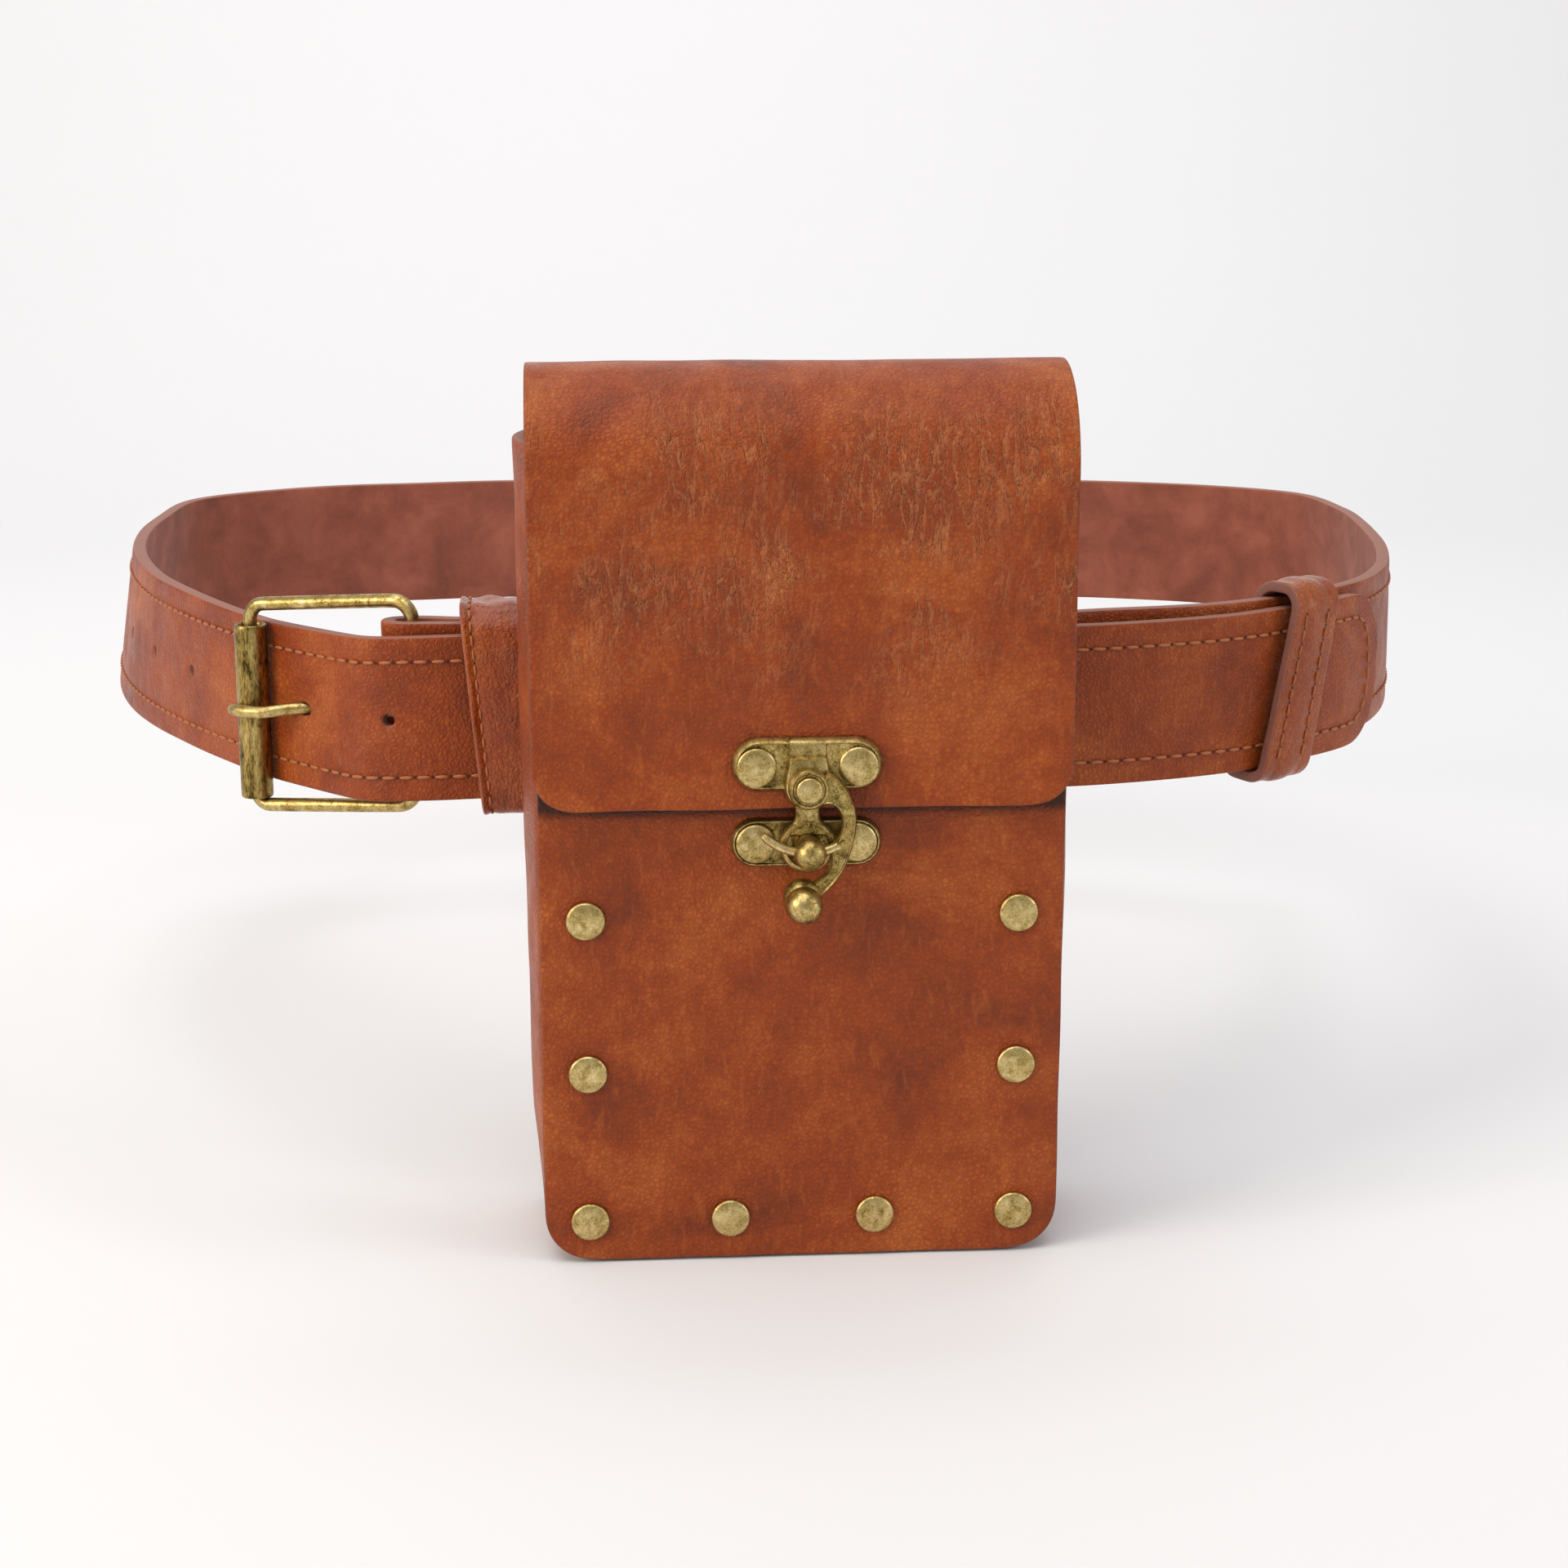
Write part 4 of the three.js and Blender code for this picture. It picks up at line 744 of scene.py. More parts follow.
class BeltPlaces:
    """Where the belt, the buckle and the keeper lie, worked out from their sizes."""

    def __init__(self):
        scene = bpy.context.scene
        self.belt, self.buckle = scene.pouch_belt, scene.pouch_buckle
        belt, buckle = self.belt, self.buckle
        self.front_y = -belt.loop_depth / 2
        self.body_y = self.front_y + belt.thickness + GAP
        self.heel_y = self.body_y + belt.thickness + GAP + buckle.wire
        self.bend = self.heel_y - self.body_y
        self.tab_y = self.body_y + 2 * belt.thickness + GAP
        angle = math.pi + buckle.turn
        self.frame_along = Vector((math.cos(angle), math.sin(angle), 0))
        self.frame_out = Vector((-self.frame_along.y, self.frame_along.x, 0))
        self.heel = Vector((buckle.heel_x, self.heel_y, 0))
        self.roller = self.heel + self.frame_along * buckle.frame_length
        self.upper_bar = belt.width / 2 + buckle.above
        self.lower_bar = -belt.width / 2 - buckle.below
        self.line, self.rises = self.route()
        self.length = self.line.length
        at_roller = self.nearest(self.roller, self.length / 2, self.length)
        self.prong_hole = at_roller + buckle.prong_hole
        self.keeper = Line(rounded_box(
            -belt.thickness - GAP - belt.keeper_wall,
            belt.thickness + GAP + belt.keeper_front + belt.keeper_wall,
            -belt.width / 2 - belt.keeper_below - belt.keeper_wall,
            belt.width / 2 + belt.keeper_above + belt.keeper_wall,
            belt.keeper_corner, 1.35 * belt.keeper_corner))
        held = self.at(self.length - belt.keeper_from_tip, 0, 0)
        self.keeper_middle = self.nearest(held, 0, self.length / 2)

    def waist_point(self, row):
        belt = self.belt
        return Vector((belt.loop_shift + row["x"] * belt.loop_width / 2, row["y"] * belt.loop_depth / 2,
                       row["lean"] * belt.width))

    def route(self):
        """Outer face of the strap seen from above, from the folded tab to the tip."""
        belt, buckle = self.belt, self.buckle
        heel_x, tab, side = buckle.heel_x, belt.tab, 0.15 * belt.loop_width
        # Each spot: x, y, how far the lower edge stands out, and a share of the rear layer's rise
        spots = [
            (heel_x + tab, self.tab_y, 0, 1), (heel_x + 0.6 * tab, self.tab_y, 0, 1),
            (heel_x + 0.4 * tab, self.tab_y, 0, 1), (heel_x + 0.05 * tab, self.heel_y + self.bend, 0, 1),
        ]
        for turn in range(90, 271, 30):
            angle = math.radians(turn)
            spots.append((heel_x - self.bend / 3 + self.bend * math.cos(angle),
                          self.heel_y + self.bend * math.sin(angle), 0, 1))
        spots += [(heel_x + 0.1 * tab, self.body_y, 0, 1), (heel_x + 0.5 * tab, self.body_y, 0, 1),
                  (0, self.body_y, 0, 1), (side, self.body_y, 0, 1)]
        waist = [self.waist_point(row) for row in WAIST_ROUTE]
        spots += [(*point, row["rise"]) for point, row in zip(waist, WAIST_ROUTE)]
        under = self.roller - self.frame_out * (buckle.roller_radius + 2 * GAP)
        frame_length = buckle.frame_length
        spots += [
            # The strap hangs a little lower where it passes under the roller
            (under.x, under.y, 0, -0.7),
            (heel_x - 0.49 * frame_length, self.heel_y + 0.72 * self.bend, 0, -0.7),
            (heel_x - 0.27 * frame_length, self.front_y + 0.66 * self.bend, 0, -0.5),
            (heel_x, self.front_y, 0, -0.2), (heel_x + tab / 2, self.front_y, 0, 0),
            (0, self.front_y, 0, 0), (side, self.front_y + GAP, 0, 0),
        ]
        rear = Line(smooth_line(waist[:5], 40))
        for row in BILLET_END:
            step = row["at"] * (len(rear.points) - 1)
            low = min(int(step), len(rear.points) - 2)
            point = rear.points[low].lerp(rear.points[low + 1], step - low)
            ahead = (rear.points[low + 1] - rear.points[low]).normalized()
            apart = belt.thickness + GAP + row["room"] * belt.rear_room
            spots.append((point.x + ahead.y * apart, point.y - ahead.x * apart, 0, 0))
        steps = 12
        line = smooth_line([Vector(spot[:3]) for spot in spots], steps)
        self.leans = [point.z for point in line]
        for point in line:
            point.z = 0
        rises = [belt.rear_rise * spot[3] for spot in spots]
        lifted = [rises[i // steps] + (rises[min(i // steps + 1, len(rises) - 1)] - rises[i // steps])
                  * (i % steps) / steps for i in range(len(line))]
        return Line(line), lifted

    def at(self, along, out, z, lifted=1.0):
        """A point on the belt: distance along it, out from its outer face, and height."""
        i, share = self.line.share(along)
        rise = self.rises[i] + (self.rises[i + 1] - self.rises[i]) * share
        lean = self.leans[i] + (self.leans[i + 1] - self.leans[i]) * share
        ahead = self.line.ahead(along)
        push = out - lean * z / self.belt.width
        point = self.line.points[i].lerp(self.line.points[i + 1], share)
        return Vector((point.x + ahead.y * push, point.y - ahead.x * push, z + lifted * rise))

    def nearest(self, spot, start, end):
        """Distance along the belt of the place nearest to a spot, between two distances."""
        found = [i for i, along in enumerate(self.line.along) if start < along < end]
        near = min(found, key=lambda i: (self.line.points[i].xy - spot.xy).length)
        ahead = self.line.ahead(self.line.along[near])
        return self.line.along[near] + (spot - self.line.points[near]).xy.dot(ahead.xy)

    def in_frame(self, reach, out, z):
        """A place in the buckle's frame: from the heel bar to the roller, and out to the front."""
        spot = self.heel + self.frame_along * reach + self.frame_out * out
        return Vector((spot.x, spot.y, z - self.buckle.sag * reach / self.buckle.frame_length))

    def on_keeper(self, x, along, out):
        """A point on the keeper: across it, along its section and out from its outer face."""
        spot = self.keeper.at(along) + self.keeper.aside(along) * out
        return self.at(self.keeper_middle - x + KEEPER_LEAN * spot.y, spot.x, spot.y, 0)


# Pieces of leather


def under_plate(x, z, middle, wide, high):
    """How far a spot of the leather lies under one of the clasp's plates, which keeps it flat."""
    return math.exp(-((x - CLASP_X) / wide) ** 2 - ((z - middle) / high) ** 2)


def make_flap():
    """Back, fold and flap: one piece of leather."""
    sizes = bpy.context.scene.pouch_leather
    half = FLAP_HIGH.x
    thick = sizes.thickness
    back_rise = FOLD_Z - BASE - GAP
    fold = math.pi * FOLD_RADIUS
    drop = FOLD_Z - FLAP_EDGE
    total = back_rise + fold + drop
    middle_y = (FLAP_FACE + BACK_FACE) / 2

    def flat(u, v):
        along = packed(v, total, sizes.panel_corner, sizes.flap_corner)
        width = min(rounded_half(half, sizes.panel_corner, along),
                    rounded_half(half, sizes.flap_corner, total - along))
        return u * width, along

    def place(x, along, depth):
        bent = along - back_rise
        if bent < 0:
            return Vector((x, BACK_FACE + depth, BASE + GAP + along))
        share = min(bent / fold, 1)
        down = max(bent - fold, 0)
        turn = math.pi * share
        wave = sizes.wave * (0.6 * waves(x, along, 0.034, 1) + 0.4 * waves(x, along, 0.013, 2))
        free = 1 - under_plate(x, drop - down, 8 * MM, 19 * MM, 16 * MM)
        lift = wave * free * min(bent / (20 * MM), 1)
        # The flap's lower edge curls forward a little, more so towards its corners
        low = down / drop
        lift += 0.6 * MM * low ** 3 * (abs(x) / half) ** 3
        lift += 1.0 * MM * low ** 9 * free
        # and its cut isn't quite straight
        edge = 0.35 * MM * waves(x, 0, 0.022, 5) * low ** 2
        radius = FOLD_RADIUS + depth + lift
        y = middle_y + radius * math.cos(turn)
        z = FOLD_Z + radius * math.sin(turn) - down - edge
        return Vector((x, y, z))

    cells = (round(2 * half / sizes.cell), round(total / sizes.cell))
    bm = sheet(*cells, thick, flat, place, sizes.soft_edge)
    finish_piece(bm, "flap_and_back", ("flap_leather", "dark_edge", "lining"), nodes=["back_and_flap"])


def rivet_spots():
    """Places of the front panel's rivets in X and Z."""
    boxes = [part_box(name) for name in PANEL_RIVETS]
    return [Vector(((low.x + high.x) / 2, (low.z + high.z) / 2)) for low, high in boxes]


def make_front_panel():
    """Front panel, pulled in by its rivets and swelling round them."""
    sizes = bpy.context.scene.pouch_leather
    half, tall = PANEL_HIGH.x, PANEL_HIGH.z - PANEL_LOW.z
    rivets = rivet_spots()
    post_z = PIVOT_Z - bpy.context.scene.pouch_clasp.post_drop

    def flat(u, v):
        along = packed(v, tall, sizes.panel_corner, 0)
        return u * rounded_half(half, sizes.panel_corner, along), along

    def place(x, along, depth):
        z = PANEL_LOW.z + along
        swell = 0.0
        for spot in rivets:
            away = (Vector((x, z)) - spot).length
            ring = math.exp(-((away - 5.6 * MM) / (2.4 * MM)) ** 2)
            rough = 0.65 + 0.6 * waves(x, z, 0.004, 9)
            swell += sizes.pucker * (ring * rough - 0.7 * math.exp(-(away / (3.5 * MM)) ** 2))
        free = 1 - under_plate(x, z, post_z, 18 * MM, 11 * MM)
        swell += sizes.wave * free * (0.7 * waves(x, z, 0.03, 3) + 0.3 * waves(x, z, 0.011, 4))
        # The last 10 mm beside each side edge bend back, and the cut edges aren't quite straight
        side = min((half - abs(x)) / (10 * MM), 1)
        swell -= 0.35 * MM * (1 - side) ** 2
        edge = 0.3 * MM * waves(z, 0, 0.02, 6) * (abs(x) / half) ** 6
        foot = 0.25 * MM * (waves(x, 0, 0.018, 7) + 0.6) * (1 - min(along / (6 * MM), 1))
        return Vector((x + edge, PANEL_FACE - depth - swell, z + foot))

    cells = (round(2 * half / sizes.cell), round(tall / sizes.cell))
    bm = sheet(*cells, sizes.thickness, flat, place, sizes.soft_edge)
    finish_piece(bm, "riveted_front_panel", ("panel_leather", "dark_edge", "lining"), nodes=["front_panel"])


def make_gusset():
    """Side and bottom wall in one strip with its edges turned in."""
    sizes = bpy.context.scene.pouch_leather
    thick, corner, flange = sizes.thickness, sizes.panel_corner, sizes.flange
    half = PANEL_HIGH.x
    front, rear = PANEL_FACE + thick + GAP, BACK_FACE - thick - GAP
    fold_inside = FOLD_RADIUS - thick - 2 * GAP
    middle_y = (FLAP_FACE + BACK_FACE) / 2
    path = Line([
        Vector((-half, GUSSET_HIGH.z, 0)), *arc((-half + corner, BASE + corner), corner, 180, 270, 8),
        *arc((half - corner, BASE + corner), corner, 270, 360, 8), Vector((half, GUSSET_HIGH.z, 0)),
    ])
    turn = 1.6 * MM  # outer radius of the turned edges
    depth = rear - front
    section = Line([
        Vector((flange, 0, 0)), *arc((turn, turn), turn, 270, 180, 5),
        *arc((turn, depth - turn), turn, 180, 90, 5), Vector((flange, depth, 0)),
    ])

    def flat(u, v):
        return (u + 1) / 2 * section.length, v * path.length

    def place(across, along, low):
        spot = section.at(across) - section.aside(across) * low
        point, out = path.at(along), path.aside(along)
        rise = (point.y - BASE) / (GUSSET_HIGH.z - BASE)
        bulge = (sizes.bulge_bottom + (sizes.bulge_top - sizes.bulge_bottom) * rise) * abs(out.x)
        bulge *= min(max((point.y - BASE - corner) / (2 * corner), 0), 1)
        # Full in the middle of the wall and nothing at its turned edges
        wall = max(math.sin(math.pi * min(max(spot.y / depth, 0), 1)), 0) * max(1 - spot.x / (3 * turn), 0)
        bulge += 0.5 * MM * waves(along, spot.y, 0.02, 8) * abs(out.x)
        inward = spot.x - bulge * wall
        room = Vector((min(max(point.x, -half + flange), half - flange), max(point.y, BASE + flange), 0))
        reach = min(max((inward - turn) / (flange - turn), 0), 1)
        seen = (point - out * min(inward, turn)).lerp(room, reach)
        y, z = front + spot.y, seen.y
        if z > FOLD_Z:
            # under the fold the edges follow its bend
            give = math.sqrt(max(fold_inside ** 2 - (z - FOLD_Z) ** 2, 0))
            y = min(max(y, middle_y - give), middle_y + give)
        return Vector((seen.x, y, z))

    rows = round(path.length / (1.2 * sizes.cell))
    bm = sheet(32, rows, thick, flat, place, sizes.soft_edge)
    finish_piece(bm, "side_and_bottom_wall", LEATHER, nodes=["gusset"])


class SleevePlaces:
    """How the flat sleeve is bent round the belt."""

    def __init__(self):
        self.sizes = bpy.context.scene.pouch_leather
        # Seen from the right and turned round, so that the join is on the wearer's side
        self.section = Line(rounded_box(
            -SLEEVE_HIGH.y, -SLEEVE_LOW.y, SLEEVE_LOW.z, SLEEVE_HIGH.z,
            self.sizes.sleeve_low_corner, self.sizes.sleeve_top_corner))

    def place(self, x, along, depth):
        """A point of the sleeve: x is the distance from its left rim."""
        sizes, section = self.sizes, self.section
        spot = section.at(along)
        share = (SLEEVE_HIGH.z - spot.y) / (SLEEVE_HIGH.z - SLEEVE_LOW.z)
        rim = SLEEVE_LOW.x + sizes.sleeve_slant * share
        reach = SLEEVE_HIGH.x - SLEEVE_LOW.x
        # Crumples of three sizes, strongest at the rim and gone 17 mm from it
        near_rim = max(1 - x / (17 * MM), 0)
        high = max(spot.y / SLEEVE_HIGH.z, 0.15)
        crumple = 1.1 * MM * waves(x * 1.6, along, 0.006, 11) * near_rim * high
        crumple += 0.55 * MM * waves(x, along * 1.5, 0.003, 13) * near_rim * high ** 2
        crumple += 0.4 * MM * waves(x, along, 0.014, 12) * near_rim
        hem = 0.3 * MM * math.exp(-((x - 0.6 * MM) / (0.7 * MM)) ** 2)
        groove = -0.3 * MM * math.exp(-((x - sizes.sleeve_seam) / (0.5 * MM)) ** 2)
        point = spot + section.aside(along) * (depth + crumple + hem + groove)
        return Vector((rim + x * (SLEEVE_HIGH.x - rim) / reach, -point.x, point.y))


def make_sleeve():
    """Band on the pouch's back that the belt runs through."""
    places = SleevePlaces()
    reach = SLEEVE_HIGH.x - SLEEVE_LOW.x

    def flat(u, v):
        share = (u + 1) / 2
        x = reach * (0.35 * share + 0.65 * share ** 2.2)
        return x, v * places.section.length

    bm = sheet(64, 84, places.sizes.thickness, flat, places.place, places.sizes.soft_edge)
    finish_piece(bm, "belt_sleeve_band", ("glossy_leather", "edge", "lining"), nodes=["belt_sleeve"])


def make_strap():
    """The belt: one strap from the folded tab to the tip."""
    places = BeltPlaces()
    belt, sizes = places.belt, bpy.context.scene.pouch_leather
    # Rows of cells run through the middle of every hole, because each is punched at a corner
    row = belt.hole_pitch / 10
    rows_before = int(places.prong_hole / row)
    start = places.prong_hole - rows_before * row
    rows = int((places.length - start) / row)
    count = rows + 2

    def flat(u, v):
        step = v * count
        along = start + (step - 1) * row
        if step < 1:
            along = start * step
        if along > places.length - belt.tip_radius:
            first = int((places.length - belt.tip_radius - start) / row) + 1
            share = (step - first) / (count - first)
            begin = start + (first - 1) * row
            along = begin + (places.length - begin) * (1 - (1 - share) ** 1.6)
        along = min(along, places.length)
        half = rounded_half(belt.width / 2, belt.tip_radius, places.length - along)
        return u * half, along

    def place(x, along, depth):
        edge = max(abs(x) / (belt.width / 2) - 0.6, 0) / 0.4
        wave = 0.12 * MM * waves(x, along, 0.02, 21)
        seam = belt.width / 2 - belt.seam
        groove = 0.22 * MM * math.exp(-((abs(x) - seam) / (0.6 * MM)) ** 2)
        skew = 0.2 * MM * waves(along, 0, 0.03, 22) * edge
        return places.at(along, depth + wave - groove, x + skew)

    holes = [(Vector((0, places.prong_hole)), 1.55 * MM, 1.4)]
    holes += [(Vector((0, places.prong_hole + i * belt.hole_pitch)), belt.hole_radius, 1.0)
              for i in range(-4, 2) if i]
    heel = places.nearest(places.heel - Vector((places.bend, 0, 0)), 0, places.length / 3)

    def slot(x, along):
        """Opening for the prong where the strap is folded round the heel bar."""
        return abs(x) < 2 * MM and abs(along - heel) < 10 * MM

    bm = sheet(14, count, belt.thickness, flat, place, sizes.soft_edge, holes, slot)
    finish_piece(bm, "belt_strap_leather", LEATHER, nodes=["belt_strap"])


def stitch_shape():
    """One stitch a unit long with the needle hole at its end: a low shape, because there are hundreds."""
    bm = bmesh.new()
    across = Matrix.Rotation(math.radians(90), 4, "X")
    bmesh.ops.create_uvsphere(bm, u_segments=6, v_segments=5, radius=0.5, matrix=across)
    bmesh.ops.scale(bm, verts=bm.verts, vec=(1, 0.8, 1))
    bmesh.ops.transform(bm, verts=bm.verts, matrix=Matrix.Rotation(0.09, 4, "Z"))
    bmesh.ops.translate(bm, verts=bm.verts, vec=(0, 0.5, 0.18))
    # The needle hole is a flat dark disc of painted shadow, the second finish
    hole = Matrix.Translation((0, 1, 0.08)) @ Matrix.Diagonal((0.9, 0.17, 1, 1))
    ring = bmesh.ops.create_circle(bm, cap_ends=True, segments=8, radius=0.5, matrix=hole)
    for face in {face for vert in ring["verts"] for face in vert.link_faces}:
        face.material_index = 1
    mesh = bpy.data.meshes.new("stitch")
    bm.to_mesh(mesh)
    bm.free()
    return mesh


def sew(bm, line, place, pitch, thread):
    """Stitches along a line on a flat piece, put in place as the piece is."""
    shape = stitch_shape()
    count = max(round(line.length / pitch), 1)
    stops = []
    for i in range(count + 1):
        spot = line.at(line.length * i / count)
        surface = place(spot.x, spot.y, 0)
        stops.append((surface, (place(spot.x, spot.y, MM) - surface).normalized()))
    for (start, normal), (end, _) in zip(stops, stops[1:]):
        way = end - start
        ahead = (way - normal * way.dot(normal)).normalized() * way.length
        across = ahead.normalized().cross(normal)
        matrix = Matrix((across * thread, ahead, normal * thread)).transposed().to_4x4()
        matrix.translation = start
        one = shape.copy()
        one.transform(matrix)
        bm.from_mesh(one)
        bpy.data.meshes.remove(one)
    bpy.data.meshes.remove(shape)


def make_stitches():
    """Seams of the belt, the sleeve's rim and the keeper."""
    places = BeltPlaces()
    belt, sizes = places.belt, bpy.context.scene.pouch_leather
    bm = bmesh.new()
    row = belt.width / 2 - belt.seam
    bend = belt.tip_radius - belt.seam
    end = places.length - belt.seam
    begin = belt.tab + 12 * MM
    ring = [Vector((row, begin, 0)), *arc((row - bend, end - bend), bend, 0, 90, 8),
            *arc((bend - row, end - bend), bend, 90, 180, 8), Vector((-row, begin, 0))]

    def on_belt(x, along, out):
        return places.at(along, out - 0.15 * MM, x)

    sew(bm, Line(ring), on_belt, belt.stitch, belt.thread)
    sleeve = SleevePlaces()
    rim = [Vector((sizes.sleeve_seam, sleeve.section.length * share, 0)) for share in (0.02, 0.98)]
    finer = 2.9 * MM
    sew(bm, Line(rim), sleeve.place, finer, belt.thread * 0.8)
    # No stitches round the keeper's bends
    for x in KEEPER_SEAMS:
        for ends in ((0.02, 0.14), (0.35, 0.65), (0.86, 0.98)):
            line = [Vector((x * belt.keeper_width, places.keeper.length * share, 0)) for share in ends]
            sew(bm, Line(line), places.on_keeper, finer, belt.thread * 0.6)
    finish_piece(bm, "seam_stitches", ("thread", "needle_hole"), smooth=0)


def make_keeper():
    """Band that holds the free end down."""
    places = BeltPlaces()
    belt, sizes = places.belt, bpy.context.scene.pouch_leather

    def flat(u, v):
        return u * belt.keeper_width / 2, v * places.keeper.length

    def place(x, along, depth):
        groove = sum(math.exp(-((x - row * belt.keeper_width) / (0.45 * MM)) ** 2) for row in KEEPER_SEAMS)
        padding = 0.35 * MM * math.exp(-((x / belt.keeper_width - 0.02) / 0.17) ** 4)
        lift = depth + padding - 0.22 * MM * groove + 0.15 * MM * waves(x, along, 0.008, 31)
        return places.on_keeper(x, along, lift)

    bm = sheet(16, 100, belt.keeper_wall, flat, place, sizes.soft_edge)
    finish_piece(bm, "belt_keeper_band", ("glossy_leather", "edge", "lining"), nodes=["belt_keeper"])


# Fittings


def make_buckle_frame():
    """Closed frame of round wire."""
    places = BeltPlaces()
    buckle, top, bottom = places.buckle, places.upper_bar, places.lower_bar
    reach, near, far = buckle.frame_length, buckle.heel_corner, buckle.roller_corner
    corners = [
        *arc((reach - far, top - far), far, 0, 90, 8), *arc((near, top - near), near, 90, 180, 8),
        *arc((near, bottom + near), near, 180, 270, 8), *arc((reach - far, bottom + far), far, 270, 360, 8),
    ]
    wire = [places.in_frame(point.x, 0, point.y) for point in corners]
    radii = [buckle.wire * (1 + 0.03 * waves(point.x, point.y, 0.006, 41)) for point in corners]
    bm = bmesh.new()
    swept(bm, wire, radii, 16, True, places.frame_out)
    finish_piece(bm, "buckle_wire_frame", ("brass_wire",), nodes=["buckle_frame"])


def make_roller():
    """Tube on the frame's front bar."""
    places = BeltPlaces()
    buckle = places.buckle
    low = places.lower_bar - buckle.sag + buckle.roller_rest
    outer, tall = buckle.roller_radius, buckle.roller_length
    inner = outer - buckle.roller_wall
    lip, collar = 0.22 * MM, 1.2 * MM
    profile = [
        (inner, lip), (inner + lip, 0), (outer - lip, 0), (outer, lip), (outer, collar),
        (outer, tall / 2), (outer, tall - collar), (outer, tall - lip), (outer - lip, tall),
        (inner + lip, tall), (inner, tall - lip), (inner, tall / 2), (inner, lip),
    ]
    bm = bmesh.new()
    turned(bm, profile, Vector((places.roller.x, places.roller.y, low)), (0, 0, 1))
    finish_piece(bm, "buckle_roller_tube", ("brass_tube",), nodes=["buckle_roller"])


def make_prong():
    """Prong: its eye round the heel bar, then through the hole in use and over the roller."""
    places = BeltPlaces()
    buckle, belt, reach = places.buckle, places.belt, places.buckle.frame_length
    eye = buckle.wire + GAP + buckle.prong
    points = []
    for turn in range(-240, 91, 15):
        angle = math.radians(turn)
        points.append(places.heel + Vector((eye * math.cos(angle), eye * math.sin(angle), 0)))
    over = buckle.roller_radius + 2 * GAP + buckle.prong
    lift = buckle.sag - 2 * MM
    slope = 2.2 * MM
    points += [
        places.at(places.prong_hole + slope, -belt.thickness - buckle.prong - GAP, 0),
        places.at(places.prong_hole - slope, buckle.prong + GAP, 0),
        places.in_frame(reach, 0, lift) + places.frame_out * over - places.frame_along * over,
        places.in_frame(reach, 0, lift) + places.frame_out * over,
        places.in_frame(reach + 3.6 * MM, 0, lift) + places.frame_out * over * 0.62,
    ]
    line = smooth_line(points, 6)
    count = len(line)
    radii = []
    for i in range(count):
        # The wire is a little thinner at the eye, and rounded off over its last few points
        end = min(1, 0.45 + 0.55 * ((count - 1 - i) / 3) ** 0.6)
        radii.append(buckle.prong * end * (1.0 if i > count // 2 else 0.92))
    bm = bmesh.new()
    swept(bm, line, radii, 14)
    finish_piece(bm, "buckle_prong_wire", ("brass_cap",), nodes=["buckle_prong"])


def cap_profile(radius, low, height):
    """Pressed rivet cap: rolled edge and a low dome."""
    return [
        (radius * across, low + height * up) for across, up in (
            (0, 0), (0.93, 0), (1, 0.25), (0.985, 0.48), (0.93, 0.66), (0.84, 0.76), (0.6, 0.9),
            (0.3, 0.98), (0, 1))
    ]


def make_panel_rivets():
    """Eight rivets that hold the front panel to the gusset."""
    for name in PANEL_RIVETS:
        low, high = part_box(name)
        middle = (low + high) / 2
        bm = bmesh.new()
        radius, washer, thick = (high.x - low.x) / 2, 0.83 * (high.x - low.x) / 2, 0.7 * MM
        cap = cap_profile(radius, 0.05 * MM, 1.45 * MM)
        turned(bm, cap, Vector((middle.x, PANEL_FACE, middle.z)), FORWARD, 32)
        back = [(0, 0), (washer, 0), (washer, 0.5 * MM), (washer * 0.9, thick), (0, thick)]
        turned(bm, back, Vector((middle.x, high.y - thick, middle.z)), (0, 1, 0), 32)
        finish_piece(bm, name.replace("panel_rivet", "domed_rivet"), ("brass_cap",), nodes=[name])


def ball_profile(radius, tall):
    """Half circle for a ball, tall as a share of its radius."""
    angles = [math.radians(angle) for angle in range(0, 181, 12)]
    return [(radius * math.sin(angle), -radius * tall * math.cos(angle)) for angle in angles]


def stadium(width, height, middle, steps=10):
    """Outline of a plate with round ends."""
    end = height / 2
    right = arc((width / 2 - end, middle), end, -90, 90, steps)
    left = arc((end - width / 2, middle), end, 90, 270, steps)
    return right + left


def on_flap(co):
    """A casting's own place in the object's: x and y from the pivot, z out of the flap's face."""
    return Vector((CLASP_X + co.x, FLAP_FACE - co.z, PIVOT_Z + co.y))


def on_panel(co):
    """The same with z out of the front panel's face."""
    return Vector((CLASP_X + co.x, PANEL_FACE - co.z, PIVOT_Z + co.y))


def hook_layer(sizes):
    """How far the hook's rear and front stand in front of the flap's face."""
    rear = 2 * GAP + sizes.boss_height
    return rear, rear + sizes.hook


TONGUE_EDGE = [  # half width as a share of the ring's radius, height as a share of the post's drop
    {"across": 0.56, "z": -0.16}, {"across": 0.46, "z": -0.36}, {"across": 0.44, "z": -0.5},
    {"across": 0.55, "z": -0.62}, {"across": 0.8, "z": -0.72}, {"across": 0.93, "z": -0.84},
]
HOOK_OUTER = [  # edges of the hook's arm as shares of the post's drop
    (0.33, 0.27), (0.48, 0.14), (0.67, -0.10), (0.77, -0.42), (0.76, -0.71), (0.70, -1.00),
    (0.57, -1.34), (0.40, -1.59), (0.22, -1.77),
]
HOOK_LOWER = [(0.04, -1.58), (0.20, -1.46), (0.31, -1.35), (0.355, -1.22)]
HOOK_UPPER = [
    (0.33, -0.955), (0.44, -0.86), (0.50, -0.75), (0.53, -0.57), (0.49, -0.40), (0.37, -0.27),
    (0.16, -0.27),
]


def shares(rows, size):
    return [Vector((x * size, z * size, 0)) for x, z in rows]


